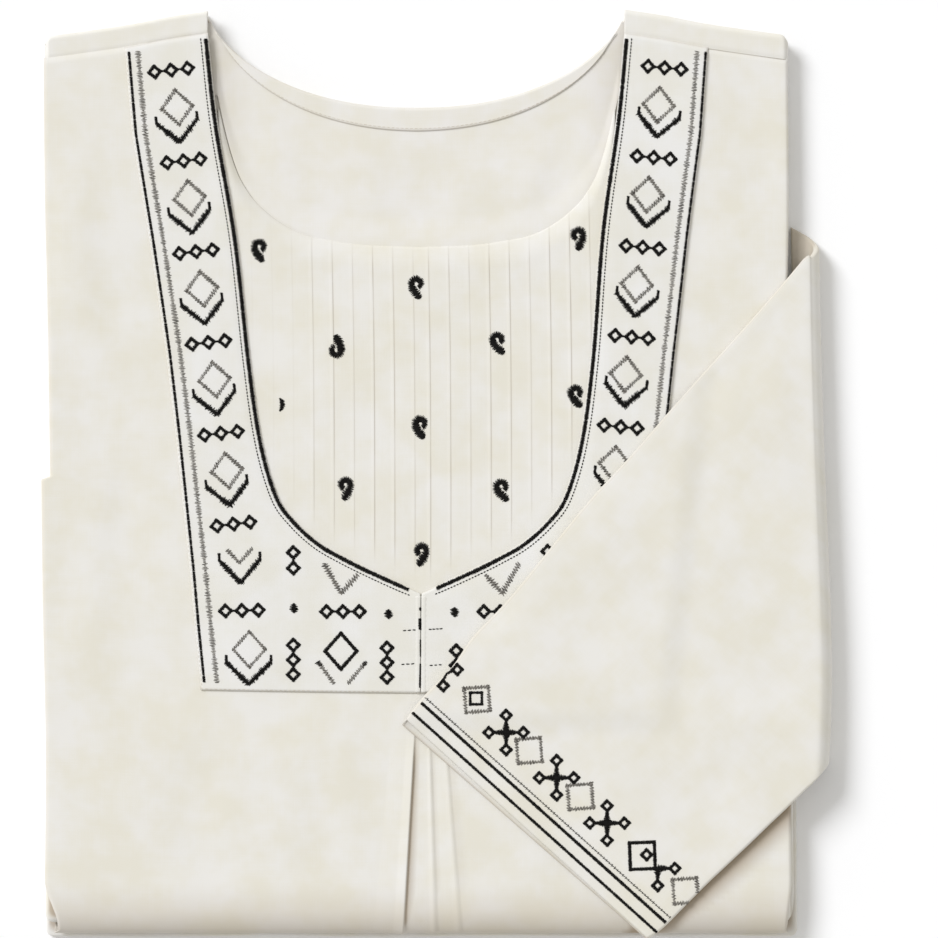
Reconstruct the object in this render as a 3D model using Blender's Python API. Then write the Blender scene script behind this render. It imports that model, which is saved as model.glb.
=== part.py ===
"""A kurta tunic, folded and lying face up, built as the pieces that a maker cuts and sews.

The folded garment lies on z = 0 with its neck towards +Y. Lengths in this file are millimetres,
and make_mesh() turns them into metres. A place across the body is also given as its distance
from the body's centre line, because the garment is symmetrical about that line.
"""

import math
from typing import NamedTuple

import bmesh
import bpy
import numpy as np

MM = 0.001

# ---------------------------------------------------------------- driving dimensions
BODY_CENTRE_X = -10.5
BODY_HALF_WIDTH = 186.5
NECK_HALF_WIDTH = 104.5
NECK_POINT_Y = 231.75
BACK_NECK_DROP = 48.5
HEM_FOLD_Y = -229.75
LOWEST_LAYER_Y = -231.75

STACK_AT_NECK = 7.0
STACK_AT_HEM = 12.0
STACK_SPAN = 2 * NECK_POINT_Y

CLOTH = 1.2
GAP = 0.3
BACK_LEVEL = GAP + CLOTH
FACING_LEVEL = BACK_LEVEL + GAP + 1.0
FRONT_LEVEL = FACING_LEVEL + GAP + 1.3
YOKE_LEVEL = FRONT_LEVEL + GAP + 1.1
BINDING_LEVEL = YOKE_LEVEL + GAP + 1.0

EDGE_CURL_RADIUS = 1.9
CURL_LOST_ON_ROLL = 0.85
SHOULDER_ROLL_RADIUS = (FRONT_LEVEL - GAP) / 2
SHOULDER_SEAM_DROP = 11.0
SHOULDER_FLAP = 3.0
SHOULDER_CORNER_RADIUS = 4.0
FACING_WIDTH = 11.0

HEM_ROLL_DEPTH = 11.0
HEM_ROLL_HEIGHT = 12.0
HEM_TUCK = 5.0
ROLL_END_PINCH_LEFT = 6.5
ROLL_END_PINCH_RIGHT = 2.0
ROLL_END_SPRING = 0.4
PINCH_START_Y = -203.0
PINCH_FULL_Y = -226.0

TUCK_COUNT_EACH_SIDE = 9
FIRST_TUCK = 3.9
TUCK_PITCH = 10.1
TUCK_WIDTH = 2.2
TUCK_HEIGHT = 0.7
TUCK_CLEARANCE = 1.5
BIB_UNDERLAP = 4.0

BINDING_WIDTH = 2.4

SLEEVE_HALF_THICKNESS = 1.5
SLEEVE_WALL = 1.15
SLEEVE_FOLD_DEPTH = 8.0
SLEEVE_FOLD_BULGE = 2.6
SLEEVE_ON_YOKE = YOKE_LEVEL + 0.6
SLEEVE_ON_FRONT = FRONT_LEVEL + 0.5

STEP_Y = -1.0
STEP_LENGTH = 2.0
STEP_OUT = 4.4


# ---------------------------------------------------------------- short tables
class SideEdge(NamedTuple):
    """The body's two side folds at one height up the front."""

    y: float
    left: float
    right: float


SIDE_EDGES = (
    SideEdge(y=214, left=-197.0, right=175.5),
    SideEdge(y=137, left=-196.2, right=176.0),
    SideEdge(y=87, left=-195.0, right=175.5),
    SideEdge(y=0, left=-193.6, right=176.0),
    SideEdge(y=-63, left=-192.8, right=176.3),
    SideEdge(y=-138, left=-191.2, right=176.7),
    SideEdge(y=-231, left=-192.0, right=177.5),
)


class ShoulderEdge(NamedTuple):
    """The top edge of a shoulder, by distance from the centre line."""

    out: float
    y: float


SHOULDER_EDGE = (
    ShoulderEdge(out=104.5, y=231.75),
    ShoulderEdge(out=126.0, y=228.4),
    ShoulderEdge(out=141.0, y=225.4),
    ShoulderEdge(out=163.0, y=222.0),
    ShoulderEdge(out=186.5, y=218.8),
)


class Neckline(NamedTuple):
    """The front neckline, which is the bib's top edge, by distance from the centre line."""

    out: float
    y: float


FRONT_NECKLINE = (
    Neckline(out=0.0, y=113.5),
    Neckline(out=38.0, y=116.0),
    Neckline(out=62.0, y=122.0),
    Neckline(out=75.0, y=130.5),
    Neckline(out=84.0, y=140.0),
    Neckline(out=91.0, y=153.0),
    Neckline(out=97.0, y=174.0),
    Neckline(out=100.5, y=190.0),
)


class YokeStation(NamedTuple):
    """One line across a yoke half: from its inner edge to its outer edge.

    The last stations fan round the bib's pointed foot to the front slit.
    """

    inner_out: float
    inner_y: float
    outer_out: float
    outer_y: float


YOKE_STATIONS = (
    YokeStation(inner_out=105.2, inner_y=220.2, outer_out=146.0, outer_y=213.0),
    YokeStation(inner_out=100.6, inner_y=176.0, outer_out=142.6, outer_y=170.0),
    YokeStation(inner_out=91.9, inner_y=119.5, outer_out=135.0, outer_y=118.0),
    YokeStation(inner_out=85.9, inner_y=56.5, outer_out=127.4, outer_y=60.0),
    YokeStation(inner_out=80.2, inner_y=16.0, outer_out=122.6, outer_y=17.0),
    YokeStation(inner_out=72.5, inner_y=-11.0, outer_out=119.0, outer_y=-18.0),
    YokeStation(inner_out=64.0, inner_y=-23.5, outer_out=115.8, outer_y=-48.0),
    YokeStation(inner_out=52.0, inner_y=-34.5, outer_out=113.0, outer_y=-78.0),
    YokeStation(inner_out=38.6, inner_y=-42.3, outer_out=109.8, outer_y=-108.0),
    YokeStation(inner_out=25.0, inner_y=-49.0, outer_out=76.0, outer_y=-108.6),
    YokeStation(inner_out=10.0, inner_y=-55.8, outer_out=36.0, outer_y=-109.2),
    YokeStation(inner_out=0.5, inner_y=-59.5, outer_out=0.5, outer_y=-109.5),
)
YOKE_CORNER_STATION = 8
SLIT_HALF_GAP = YOKE_STATIONS[-1].inner_out
SLIT_TOP_Y = YOKE_STATIONS[-1].inner_y
YOKE_BOTTOM_Y = YOKE_STATIONS[-1].outer_y


class CentreDrift(NamedTuple):
    """How far the neck, bib and yoke sit to +X of the body's centre line."""

    y: float
    drift: float


CENTRE_DRIFT = (
    CentreDrift(y=231, drift=0.0),
    CentreDrift(y=170, drift=0.4),
    CentreDrift(y=56, drift=2.3),
    CentreDrift(y=-10, drift=2.6),
    CentreDrift(y=-110, drift=2.3),
)


class FrontTop(NamedTuple):
    """The front panel's upper edge where the yoke covers it, by distance from the centre line."""

    out: float
    y: float


FRONT_TOP = (
    FrontTop(out=0.0, y=-84.0),
    FrontTop(out=40.0, y=-78.0),
    FrontTop(out=70.0, y=-62.0),
    FrontTop(out=92.0, y=-30.0),
    FrontTop(out=104.0, y=10.0),
    FrontTop(out=112.0, y=60.0),
    FrontTop(out=120.0, y=120.0),
    FrontTop(out=127.0, y=170.0),
    FrontTop(out=133.0, y=213.0),
)


class Pleat(NamedTuple):
    """A fold line of the centre pleat: where it starts and ends, and how high it stands there."""

    top_x: float
    hem_x: float
    height: float


PLEATS = (
    Pleat(top_x=-10.6, hem_x=-16.6, height=1.1),
    Pleat(top_x=-9.4, hem_x=-14.8, height=-0.1),
    Pleat(top_x=-4.5, hem_x=-1.4, height=0.1),
    Pleat(top_x=-2.5, hem_x=1.2, height=0.7),
    Pleat(top_x=3.0, hem_x=11.4, height=0.4),
    Pleat(top_x=5.0, hem_x=13.6, height=0.0),
)
PLEAT_TOP_Y = -120.0
PLEAT_FULL_Y = -150.0


class SleeveStation(NamedTuple):
    """A line across the sleeve from its upper edge to its lower edge, and how far the fold has turned."""

    upper_x: float
    upper_y: float
    lower_x: float
    lower_y: float
    turn: float


SLEEVE_STATIONS = (
    SleeveStation(upper_x=-14.5, upper_y=-124.0, lower_x=105.0, lower_y=-231.3, turn=0),
    SleeveStation(upper_x=-7.5, upper_y=-113.5, lower_x=112.5, lower_y=-226.5, turn=0),
    SleeveStation(upper_x=2.0, upper_y=-95.0, lower_x=123.0, lower_y=-215.5, turn=0),
    SleeveStation(upper_x=14.0, upper_y=-77.0, lower_x=134.5, lower_y=-204.0, turn=0),
    SleeveStation(upper_x=32.5, upper_y=-57.5, lower_x=146.0, lower_y=-193.0, turn=0),
    SleeveStation(upper_x=54.0, upper_y=-37.5, lower_x=157.0, lower_y=-182.5, turn=0),
    SleeveStation(upper_x=76.0, upper_y=-14.5, lower_x=166.0, lower_y=-174.5, turn=0),
    SleeveStation(upper_x=98.0, upper_y=9.5, lower_x=173.0, lower_y=-168.0, turn=0),
    SleeveStation(upper_x=121.0, upper_y=36.0, lower_x=179.0, lower_y=-162.5, turn=0),
    SleeveStation(upper_x=144.0, upper_y=61.5, lower_x=183.5, lower_y=-158.0, turn=0),
    SleeveStation(upper_x=164.0, upper_y=84.0, lower_x=186.5, lower_y=-154.5, turn=0),
    SleeveStation(upper_x=183.0, upper_y=106.5, lower_x=188.0, lower_y=-151.5, turn=0),
    SleeveStation(upper_x=183.2, upper_y=108.0, lower_x=188.2, lower_y=-150.5, turn=30),
    SleeveStation(upper_x=183.3, upper_y=110.5, lower_x=188.2, lower_y=-148.5, turn=60),
    SleeveStation(upper_x=183.4, upper_y=113.0, lower_x=188.2, lower_y=-146.0, turn=90),
    SleeveStation(upper_x=183.3, upper_y=115.5, lower_x=188.2, lower_y=-143.0, turn=120),
    SleeveStation(upper_x=183.2, upper_y=118.0, lower_x=188.2, lower_y=-140.5, turn=150),
    SleeveStation(upper_x=183.0, upper_y=120.0, lower_x=188.0, lower_y=-138.0, turn=180),
    SleeveStation(upper_x=177.8, upper_y=123.0, lower_x=182.6, lower_y=-134.0, turn=180),
)
SLEEVE_SHARES = (0.06, 0.14, 0.25, 0.38, 0.5, 0.62, 0.75, 0.86, 0.94)
CUFF_LAYER_AT_UPPER = 3.4
CUFF_LAYER_AT_LOWER = 0.8


class CoreRing(NamedTuple):
    """One ring up the hidden layers: its height as a share of the stack, and how far its edges step.

    The grooves between layers are rings whose edges step in. The ledge is how much further a layer
    reaches on the right, below the folded sleeve.
    """

    height: float
    side_out: float
    top_out: float
    hem_y: float
    ledge: float


CORE_RINGS = (
    CoreRing(height=0.00, side_out=-2.4, top_out=-3.0, hem_y=-229.9, ledge=3.3),
    CoreRing(height=0.05, side_out=-0.8, top_out=-1.6, hem_y=-231.2, ledge=3.3),
    CoreRing(height=0.15, side_out=0.0, top_out=-0.9, hem_y=LOWEST_LAYER_Y, ledge=3.3),
    CoreRing(height=0.26, side_out=-0.6, top_out=-1.4, hem_y=-231.2, ledge=3.3),
    CoreRing(height=0.31, side_out=-2.6, top_out=-3.2, hem_y=-225.0, ledge=2.4),
    CoreRing(height=0.335, side_out=-1.5, top_out=-2.2, hem_y=-211.5, ledge=1.8),
    CoreRing(height=0.42, side_out=-0.4, top_out=-0.8, hem_y=-211.5, ledge=1.8),
    CoreRing(height=0.53, side_out=-0.4, top_out=-0.8, hem_y=-213.0, ledge=1.8),
    CoreRing(height=0.60, side_out=-1.1, top_out=-1.6, hem_y=-223.0, ledge=1.8),
    CoreRing(height=0.64, side_out=-2.8, top_out=-3.4, hem_y=-224.5, ledge=0.0),
    CoreRing(height=0.70, side_out=-1.2, top_out=-1.8, hem_y=-224.5, ledge=0.0),
    CoreRing(height=0.84, side_out=-0.7, top_out=-1.2, hem_y=-224.0, ledge=0.0),
    CoreRing(height=0.95, side_out=-1.4, top_out=-2.0, hem_y=-222.5, ledge=0.0),
    CoreRing(height=1.00, side_out=-3.0, top_out=-3.6, hem_y=-220.0, ledge=0.0),
)
LEDGE_START_Y = -140.0


class Finish(NamedTuple):
    """What a piece's cloth looks like in plain terms."""

    colour: tuple
    roughness: float
    metallic: float


IVORY_COTTON = Finish(colour=(0.80, 0.77, 0.70, 1.0), roughness=0.92, metallic=0.0)
WHITE_YOKE_COTTON = Finish(colour=(0.83, 0.82, 0.78, 1.0), roughness=0.90, metallic=0.0)
INNER_COTTON = Finish(colour=(0.79, 0.75, 0.67, 1.0), roughness=0.93, metallic=0.0)


# ---------------------------------------------------------------- curves read from the tables
def smooth_value(keys, values, at):
    """Value at a key on a cubic curve through rows that are in order of their keys."""
    keys = np.asarray(keys, float)
    values = np.asarray(values, float)
    at = np.clip(at, keys[0], keys[-1])
    slopes = np.gradient(values, keys)
    row = np.clip(np.searchsorted(keys, at, side="right") - 1, 0, len(keys) - 2)
    span = keys[row + 1] - keys[row]
    part = (at - keys[row]) / span
    rise = part * part * (3 - 2 * part)
    start_bend = part * (1 - part) ** 2 * span
    end_bend = part * part * (part - 1) * span
    level = values[row] * (1 - rise) + values[row + 1] * rise
    return level + slopes[row] * start_bend + slopes[row + 1] * end_bend


def from_table(table, key, column, at):
    """Value of one named column of a table at a value of its key column."""
    rows = sorted(table, key=lambda row: getattr(row, key))
    keys = [getattr(row, key) for row in rows]
    values = [getattr(row, column) for row in rows]
    return smooth_value(keys, values, at)


def ease(start, end, at):
    """Smooth step from 0 at start to 1 at end."""
    part = np.clip((at - start) / (end - start), 0.0, 1.0)
    return part * part * (3 - 2 * part)


def stack_top(y):
    """Height of the hidden layers' top, which slopes evenly from the hem down to the neck."""
    return STACK_AT_NECK + (STACK_AT_HEM - STACK_AT_NECK) * (NECK_POINT_Y - y) / STACK_SPAN


def centre_x(y):
    """X of the line about which the neck, bib and yoke are symmetrical."""
    return BODY_CENTRE_X + from_table(CENTRE_DRIFT, "y", "drift", y)


def shoulder_edge_y(out):
    """Y of the shoulder's top edge, rounded off at its outer corner."""
    corner_start = BODY_HALF_WIDTH - SHOULDER_CORNER_RADIUS
    into_corner = np.clip(out - corner_start, 0.0, SHOULDER_CORNER_RADIUS)
    corner_drop = SHOULDER_CORNER_RADIUS - math.sqrt(SHOULDER_CORNER_RADIUS**2 - into_corner**2)
    return from_table(SHOULDER_EDGE, "out", "y", out) - corner_drop


def shoulder_seam_y(out):
    """Y of the seam between the front and the back's forward roll."""
    return from_table(SHOULDER_EDGE, "out", "y", out) - SHOULDER_SEAM_DROP


def back_neck_y(out):
    """Y of the back neckline at a distance from the centre line."""
    share = min(abs(out) / NECK_HALF_WIDTH, 1.0)
    return NECK_POINT_Y - BACK_NECK_DROP * (1 - share**2.2) ** 0.65


def side_edges(y):
    """X of the body's left and right fold at a height, with the step in the left fold."""
    left = from_table(SIDE_EDGES, "y", "left", y)
    right = from_table(SIDE_EDGES, "y", "right", y)
    step = STEP_OUT * ease(STEP_Y, STEP_Y - STEP_LENGTH, y)
    return left - step, right


def body_x(out, y):
    """X of a column of the body: its nominal distance, eased to meet the real side folds."""
    left, right = side_edges(y)
    nominal = BODY_CENTRE_X + out
    weight = ease(0.6, 1.0, abs(out) / BODY_HALF_WIDTH)
    if out < 0:
        return nominal + weight * (left - (BODY_CENTRE_X - BODY_HALF_WIDTH))
    return nominal + weight * (right - (BODY_CENTRE_X + BODY_HALF_WIDTH))


# ---------------------------------------------------------------- meshes
def make_material(name, finish):
    """Plain cloth material with a piece's colour, roughness and metallic value."""
    material = bpy.data.materials.new(name)
    material.use_nodes = True
    shader = material.node_tree.nodes["Principled BSDF"]
    shader.inputs["Base Color"].default_value = finish.colour
    shader.inputs["Roughness"].default_value = finish.roughness
    shader.inputs["Metallic"].default_value = finish.metallic
    return material


def make_mesh(name, points, faces, finish):
    """Object in metres from points in millimetres, triangulated, with its faces pointing out."""
    mesh = bpy.data.meshes.new(name)
    mesh.from_pydata([tuple(float(value) * MM for value in point) for point in points], [], faces)
    shape = bmesh.new()
    shape.from_mesh(mesh)
    bmesh.ops.triangulate(shape, faces=shape.faces[:], ngon_method="EAR_CLIP")
    bmesh.ops.recalc_face_normals(shape, faces=shape.faces[:])
    shape.to_mesh(mesh)
    shape.free()
    mesh.shade_smooth()
    mesh.set_sharp_from_angle(angle=math.radians(40))
    mesh.materials.append(make_material(name, finish))
    piece = bpy.data.objects.new(name, mesh)
    bpy.context.scene.collection.objects.link(piece)
    return piece


def grid_normals(grid):
    """Unit normals of a grid whose rows run towards -Y and whose columns run towards +X."""
    down = np.gradient(grid, axis=0)
    across = np.gradient(grid, axis=1)
    normals = np.cross(down, across)
    return normals / np.linalg.norm(normals, axis=2, keepdims=True)


def grid_faces(rows, columns, start=0, flipped=False):
    """Four-sided faces of a grid of points that are numbered row by row."""
    faces = []
    for row in range(rows - 1):
        for column in range(columns - 1):
            corner = start + row * columns + column
            face = (corner, corner + columns, corner + columns + 1, corner + 1)
            faces.append(face[::-1] if flipped else face)
    return faces


def border_loop(rows, columns):
    """Point numbers round the border of a grid, anticlockwise seen from its outer side."""
    down = [row * columns for row in range(rows)]
    across = [(rows - 1) * columns + column for column in range(1, columns)]
    up = [row * columns + columns - 1 for row in range(rows - 2, -1, -1)]
    back = list(range(columns - 2, 0, -1))
    return down + across + up + back


def make_wall(name, outer, thickness, finish):
    """Closed cloth wall between a grid of outer points and the same grid moved in."""
    outer = np.asarray(outer, float)
    rows, columns = outer.shape[:2]
    inner = outer - grid_normals(outer) * thickness
    count = rows * columns
    points = list(outer.reshape(-1, 3)) + list(inner.reshape(-1, 3))
    faces = grid_faces(rows, columns) + grid_faces(rows, columns, count, flipped=True)
    loop = border_loop(rows, columns)
    for here, after in zip(loop, loop[1:] + loop[:1]):
        faces.append((here, here + count, after + count, after))
    return make_mesh(name, points, faces, finish)


def make_flat_panel(name, outer, thickness, finish, under=None):
    """Closed panel whose outer points may have relief over one plain underside."""
    outer = np.asarray(outer, float)
    rows, columns = outer.shape[:2]
    loop = border_loop(rows, columns)
    count = rows * columns
    under = outer if under is None else np.asarray(under, float)
    border = under.reshape(-1, 3)[loop] - np.array([0.0, 0.0, thickness])
    points = list(outer.reshape(-1, 3)) + list(border)
    faces = grid_faces(rows, columns)
    for place, here in enumerate(loop):
        after = (place + 1) % len(loop)
        faces.append((here, count + place, count + after, loop[after]))
    faces.append(tuple(count + place for place in range(len(loop) - 1, -1, -1)))
    return make_mesh(name, points, faces, finish)


# ---------------------------------------------------------------- body pieces
def top_of(level, x, y):
    """Point of a flat piece whose upper face is a level above the hidden layers."""
    return (x, y, stack_top(y) + level)


def core_outline(ring):
    """Points round one ring of the hidden layers, anticlockwise from the left shoulder."""
    hem_y = ring.hem_y
    corner = 3.0
    side_top = shoulder_edge_y(BODY_HALF_WIDTH) - 1.0
    side_foot = hem_y + corner
    side_heights = [side_top, 170, 120, 70, 30, 0.5, STEP_Y - STEP_LENGTH, -40, -90, -140, -158, -200]
    side_heights += [(side_heights[-1] + side_foot) / 2, side_foot]
    points = []
    for y in side_heights:
        points.append((side_edges(y)[0] - ring.side_out, y))
    left_foot = points[-1][0]
    points.append((left_foot + 0.3 * corner, hem_y + 0.3 * corner))
    right_heights = side_heights[::-1]
    right_foot = side_edges(hem_y)[1] + ring.side_out + ring.ledge
    for share in (0.0, 0.2, 0.4, 0.6, 0.8, 1.0):
        points.append((left_foot + corner + share * (right_foot - left_foot - 2 * corner), hem_y))
    points.append((right_foot - 0.3 * corner, hem_y + 0.3 * corner))
    for y in right_heights:
        ledge = ring.ledge * ease(LEDGE_START_Y, LEDGE_START_Y - 15, y)
        points.append((side_edges(y)[1] + ring.side_out + ledge, y))
    shoulder_places = (BODY_HALF_WIDTH - 1.5, 180.0, 160.0, 140.0, 120.0)
    for out in shoulder_places:
        x = BODY_CENTRE_X + out + ring.side_out * ease(150, 186, out)
        points.append((x, shoulder_edge_y(out) + ring.top_out))
    for step in range(-8, 9):
        out = -(NECK_HALF_WIDTH + 3.0) * math.sin(step / 8 * math.pi / 2)
        points.append((centre_x(200) + out, back_neck_y(out) + ring.top_out))
    for out in shoulder_places[::-1]:
        x = BODY_CENTRE_X - out - ring.side_out * ease(150, 186, out)
        points.append((x, shoulder_edge_y(out) + ring.top_out))
    return points


def build_folded_core():
    """The hidden layers: back sides, folded-up skirt and far sleeve, as one layered solid."""
    points = []
    for ring in CORE_RINGS:
        for x, y in core_outline(ring):
            points.append((x, y, ring.height * stack_top(y)))
    count = len(points) // len(CORE_RINGS)
    faces = [tuple(range(count - 1, -1, -1))]
    for ring in range(len(CORE_RINGS) - 1):
        for place in range(count):
            here = ring * count + place
            after = ring * count + (place + 1) % count
            faces.append((here, after, after + count, here + count))
    top = (len(CORE_RINGS) - 1) * count
    faces.append(tuple(range(top, top + count)))
    return make_mesh("folded_core", points, faces, INNER_COTTON)


def build_back():
    """The back panel's inner face, which shows through the neck."""
    places = [NECK_HALF_WIDTH * math.sin(step / 7 * math.pi / 2) for step in range(-7, 8)]
    shoulder_places = [120.0, 140.0, 160.0, 172.0, 177.0]
    places = [-out for out in shoulder_places[::-1]] + places + shoulder_places
    grid = []
    for share in (0.0, 0.08, 0.2, 0.45, 1.0):
        row = []
        for out in places:
            if abs(out) <= NECK_HALF_WIDTH - 1:
                top_y = back_neck_y(out)
            else:
                top_y = shoulder_edge_y(abs(out)) - SHOULDER_ROLL_RADIUS - SHOULDER_FLAP - 0.8
            y = top_y + share * (-214.0 - top_y)
            row.append(top_of(BACK_LEVEL, BODY_CENTRE_X + out, y))
        grid.append(row)
    return make_flat_panel("back", grid, CLOTH, INNER_COTTON)


def build_back_neck_facing():
    """The strip that faces the inside of the back neckline."""
    grid = [[], [], []]
    for step in range(-13, 14):
        out = (NECK_HALF_WIDTH - 4.5) * math.sin(step / 13 * math.pi / 2)
        for row, share in enumerate((0.0, 0.5, 1.0)):
            slope_out = out * (1 - 0.06 * share)
            y = back_neck_y(out) - 0.4 - share * FACING_WIDTH * (1 - 0.15 * abs(out) / NECK_HALF_WIDTH)
            grid[row].append(top_of(FACING_LEVEL, BODY_CENTRE_X + slope_out, y))
    return make_flat_panel("back_neck_facing", grid, 1.0, INNER_COTTON)


def build_back_shoulder(name, side):
    """The back panel's shoulder, rolled forward from under the stack's top to the shoulder seam."""
    places = (NECK_HALF_WIDTH, 112.0, 122.0, 134.0, 146.0, 158.0, 170.0, 178.0, 181.0, 183.2, 184.6, 185.6)
    turns = (0, 30, 60, 90, 120, 150, 180)
    radius = SHOULDER_ROLL_RADIUS
    columns = []
    for out in places:
        edge_y = shoulder_edge_y(out)
        seam_y = shoulder_seam_y(out) + GAP
        centre_z = stack_top(edge_y) + GAP + radius
        path = []
        for share in (0.0, 0.35, 0.7):
            y = seam_y + share * (edge_y - radius - seam_y)
            path.append((y, stack_top(y) + FRONT_LEVEL))
        for turn in turns:
            angle = math.radians(turn)
            path.append((edge_y - radius + radius * math.sin(angle), centre_z + radius * math.cos(angle)))
        flap_y = edge_y - radius - SHOULDER_FLAP
        path.append((flap_y, stack_top(flap_y) + GAP))
        column = [(BODY_CENTRE_X + side * out, y, z) for y, z in path]
        columns.append(column[::-1])
    if side < 0:
        columns = columns[::-1]
    grid = np.swapaxes(np.asarray(columns), 0, 1)
    return make_wall(name, grid, CLOTH, IVORY_COTTON)


def front_top_y(out):
    """Y of the front panel's upper edge: under the yoke, then the shoulder seam."""
    if out >= FRONT_TOP[-1].out:
        return shoulder_seam_y(out)
    return from_table(FRONT_TOP, "out", "y", out)


def pleat_columns():
    """Nominal distances of the columns that follow the pleat's fold lines, from the hem's places."""
    return [pleat.hem_x - BODY_CENTRE_X for pleat in PLEATS]


def pleat_shape(out, y):
    """X and raised height of a column near the centre pleat at a height up the front."""
    open_share = (PLEAT_TOP_Y - y) / (PLEAT_TOP_Y - HEM_FOLD_Y)
    knots = [-70.0] + pleat_columns() + [80.0]
    places = [-70.0]
    heights = [0.0]
    for pleat in PLEATS:
        places.append(pleat.top_x + (pleat.hem_x - pleat.top_x) * max(open_share, 0.0) - BODY_CENTRE_X)
        heights.append(pleat.height)
    places.append(80.0)
    heights.append(0.0)
    raised = np.interp(out, knots, heights) * ease(PLEAT_TOP_Y, PLEAT_FULL_Y, y)
    left_fade = ease(-45.0, knots[1], out) if out < knots[1] else 1.0
    return np.interp(out, knots, places), raised * left_fade


def front_columns():
    """Nominal distances of the front panel's columns from the centre line, left to right."""
    outer = [184.6, 178.0, 168.0, 152.0, 140.0, 133.0, 127.0, 120.0, 112.0, 104.0, 92.0, 70.0]
    middle_left = [-45.0, -20.0]
    middle_right = [45.0]
    return [-out for out in outer] + middle_left + pleat_columns() + middle_right + outer[::-1]


def front_path(out):
    """Points down one column of the front: y, z and the turn of the cloth, with the hem roll."""
    top_y = front_top_y(abs(out))
    roll_start_y = HEM_FOLD_Y + HEM_ROLL_DEPTH
    side_heights = (206, 172, 136, 100, 60, 25, 0.5, -3.0, -40, -80, -118, -135, -150, -175, -200)
    side_heights += (roll_start_y,)
    side_top = side_heights[0]
    path = []
    for height in side_heights:
        share = (side_top - height) / (side_top - roll_start_y)
        y = top_y + share * (roll_start_y - top_y)
        path.append((y, stack_top(y) + FRONT_LEVEL, 0.0))
    half_height = HEM_ROLL_HEIGHT / 2
    centre_z = stack_top(roll_start_y) + FRONT_LEVEL - half_height
    for turn in (22, 45, 68, 90, 112, 140, 180):
        angle = math.radians(turn)
        y = roll_start_y - HEM_ROLL_DEPTH * math.sin(angle)
        path.append((y, centre_z + half_height * math.cos(angle), float(turn)))
    path.append((roll_start_y + HEM_TUCK, centre_z - half_height, 180.0))
    return path


def roll_pinch(out, y, turn):
    """How far the hem roll's ends are drawn in towards the middle, at a place down one column."""
    size = ROLL_END_PINCH_LEFT if out < 0 else ROLL_END_PINCH_RIGHT
    drawn_in = 1.0 if turn > 60.0 else ease(PINCH_START_Y, PINCH_FULL_Y, y)
    eased_out = ROLL_END_SPRING * ease(50.0, 90.0, turn)
    return size * (drawn_in - eased_out) * ease(150.0, 184.0, abs(out))


def build_front():
    """The front panel: curled side folds, centre pleat and the roll at the bottom fold."""
    curl_turns = (180, 135, 90, 45)
    stops = [(-184.6, turn) for turn in curl_turns]
    stops += [(out, 0) for out in front_columns()]
    stops += [(184.6, turn) for turn in curl_turns[::-1]]
    columns = []
    for out, curl in stops:
        side = math.copysign(1.0, out)
        column = []
        for y, z, turn in front_path(out):
            tilt = math.radians(turn)
            curl_angle = math.radians(curl * (1 - CURL_LOST_ON_ROLL * ease(5.0, 60.0, turn)))
            curl_out = EDGE_CURL_RADIUS * math.sin(curl_angle)
            curl_in = EDGE_CURL_RADIUS * (1 - math.cos(curl_angle))
            raised = 0.0
            if abs(out) <= 70.0:
                pleat_out, raised = pleat_shape(out, y)
                raised *= 1 - ease(60.0, 110.0, turn)
                x = BODY_CENTRE_X + pleat_out
            else:
                x = body_x(out, y) + side * curl_out
            pinch = roll_pinch(out, y, turn)
            lift = raised - curl_in
            column.append((x - side * pinch, y - lift * math.sin(tilt), z + lift * math.cos(tilt)))
        columns.append(column)
    grid = np.swapaxes(np.asarray(columns), 0, 1)
    return make_wall("front", grid, 1.3, IVORY_COTTON)


# ---------------------------------------------------------------- bib and yoke
def yoke_point(place, share):
    """Distance from the centre line and Y of a point of the yoke, by station and share across."""
    stations = range(len(YOKE_STATIONS))
    inner_out = smooth_value(stations, [row.inner_out for row in YOKE_STATIONS], place)
    inner_y = smooth_value(stations, [row.inner_y for row in YOKE_STATIONS], place)
    outer_out = np.interp(place, stations, [row.outer_out for row in YOKE_STATIONS])
    outer_y = np.interp(place, stations, [row.outer_y for row in YOKE_STATIONS])
    return inner_out + share * (outer_out - inner_out), inner_y + share * (outer_y - inner_y)


def build_yoke_half(name, side):
    """One half of the embroidered yoke, from its shoulder seam to the front slit."""
    last = len(YOKE_STATIONS) - 1
    places = [step / 2 for step in range(2 * last + 1)]
    shares = (0.0, 0.25, 0.5, 0.75, 1.0)
    grid = []
    for place in places:
        row = []
        for share in shares[::-1] if side < 0 else shares:
            out, y = yoke_point(place, share)
            row.append(top_of(YOKE_LEVEL, centre_x(y) + side * out, y))
        grid.append(row)
    return make_flat_panel(name, grid, 1.1, WHITE_YOKE_COTTON)


def build_slit_binding(name, side):
    """The bound edge of the front slit, lying on one half of the yoke."""
    grid = []
    for step in range(7):
        y = SLIT_TOP_Y - 1.5 + step / 6 * (YOKE_BOTTOM_Y - SLIT_TOP_Y + 2.0)
        row = []
        for share in (0.0, 0.5, 1.0):
            out = SLIT_HALF_GAP + 0.2 + share * BINDING_WIDTH
            level = BINDING_LEVEL - 0.35 * abs(2 * share - 1)
            row.append(top_of(level, centre_x(y) + side * out, y))
        grid.append(row[::-1] if side < 0 else row)
    under = [[top_of(BINDING_LEVEL, x, y) for x, y, _ in row] for row in grid]
    return make_flat_panel(name, grid, 1.0, WHITE_YOKE_COTTON, under)


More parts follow.
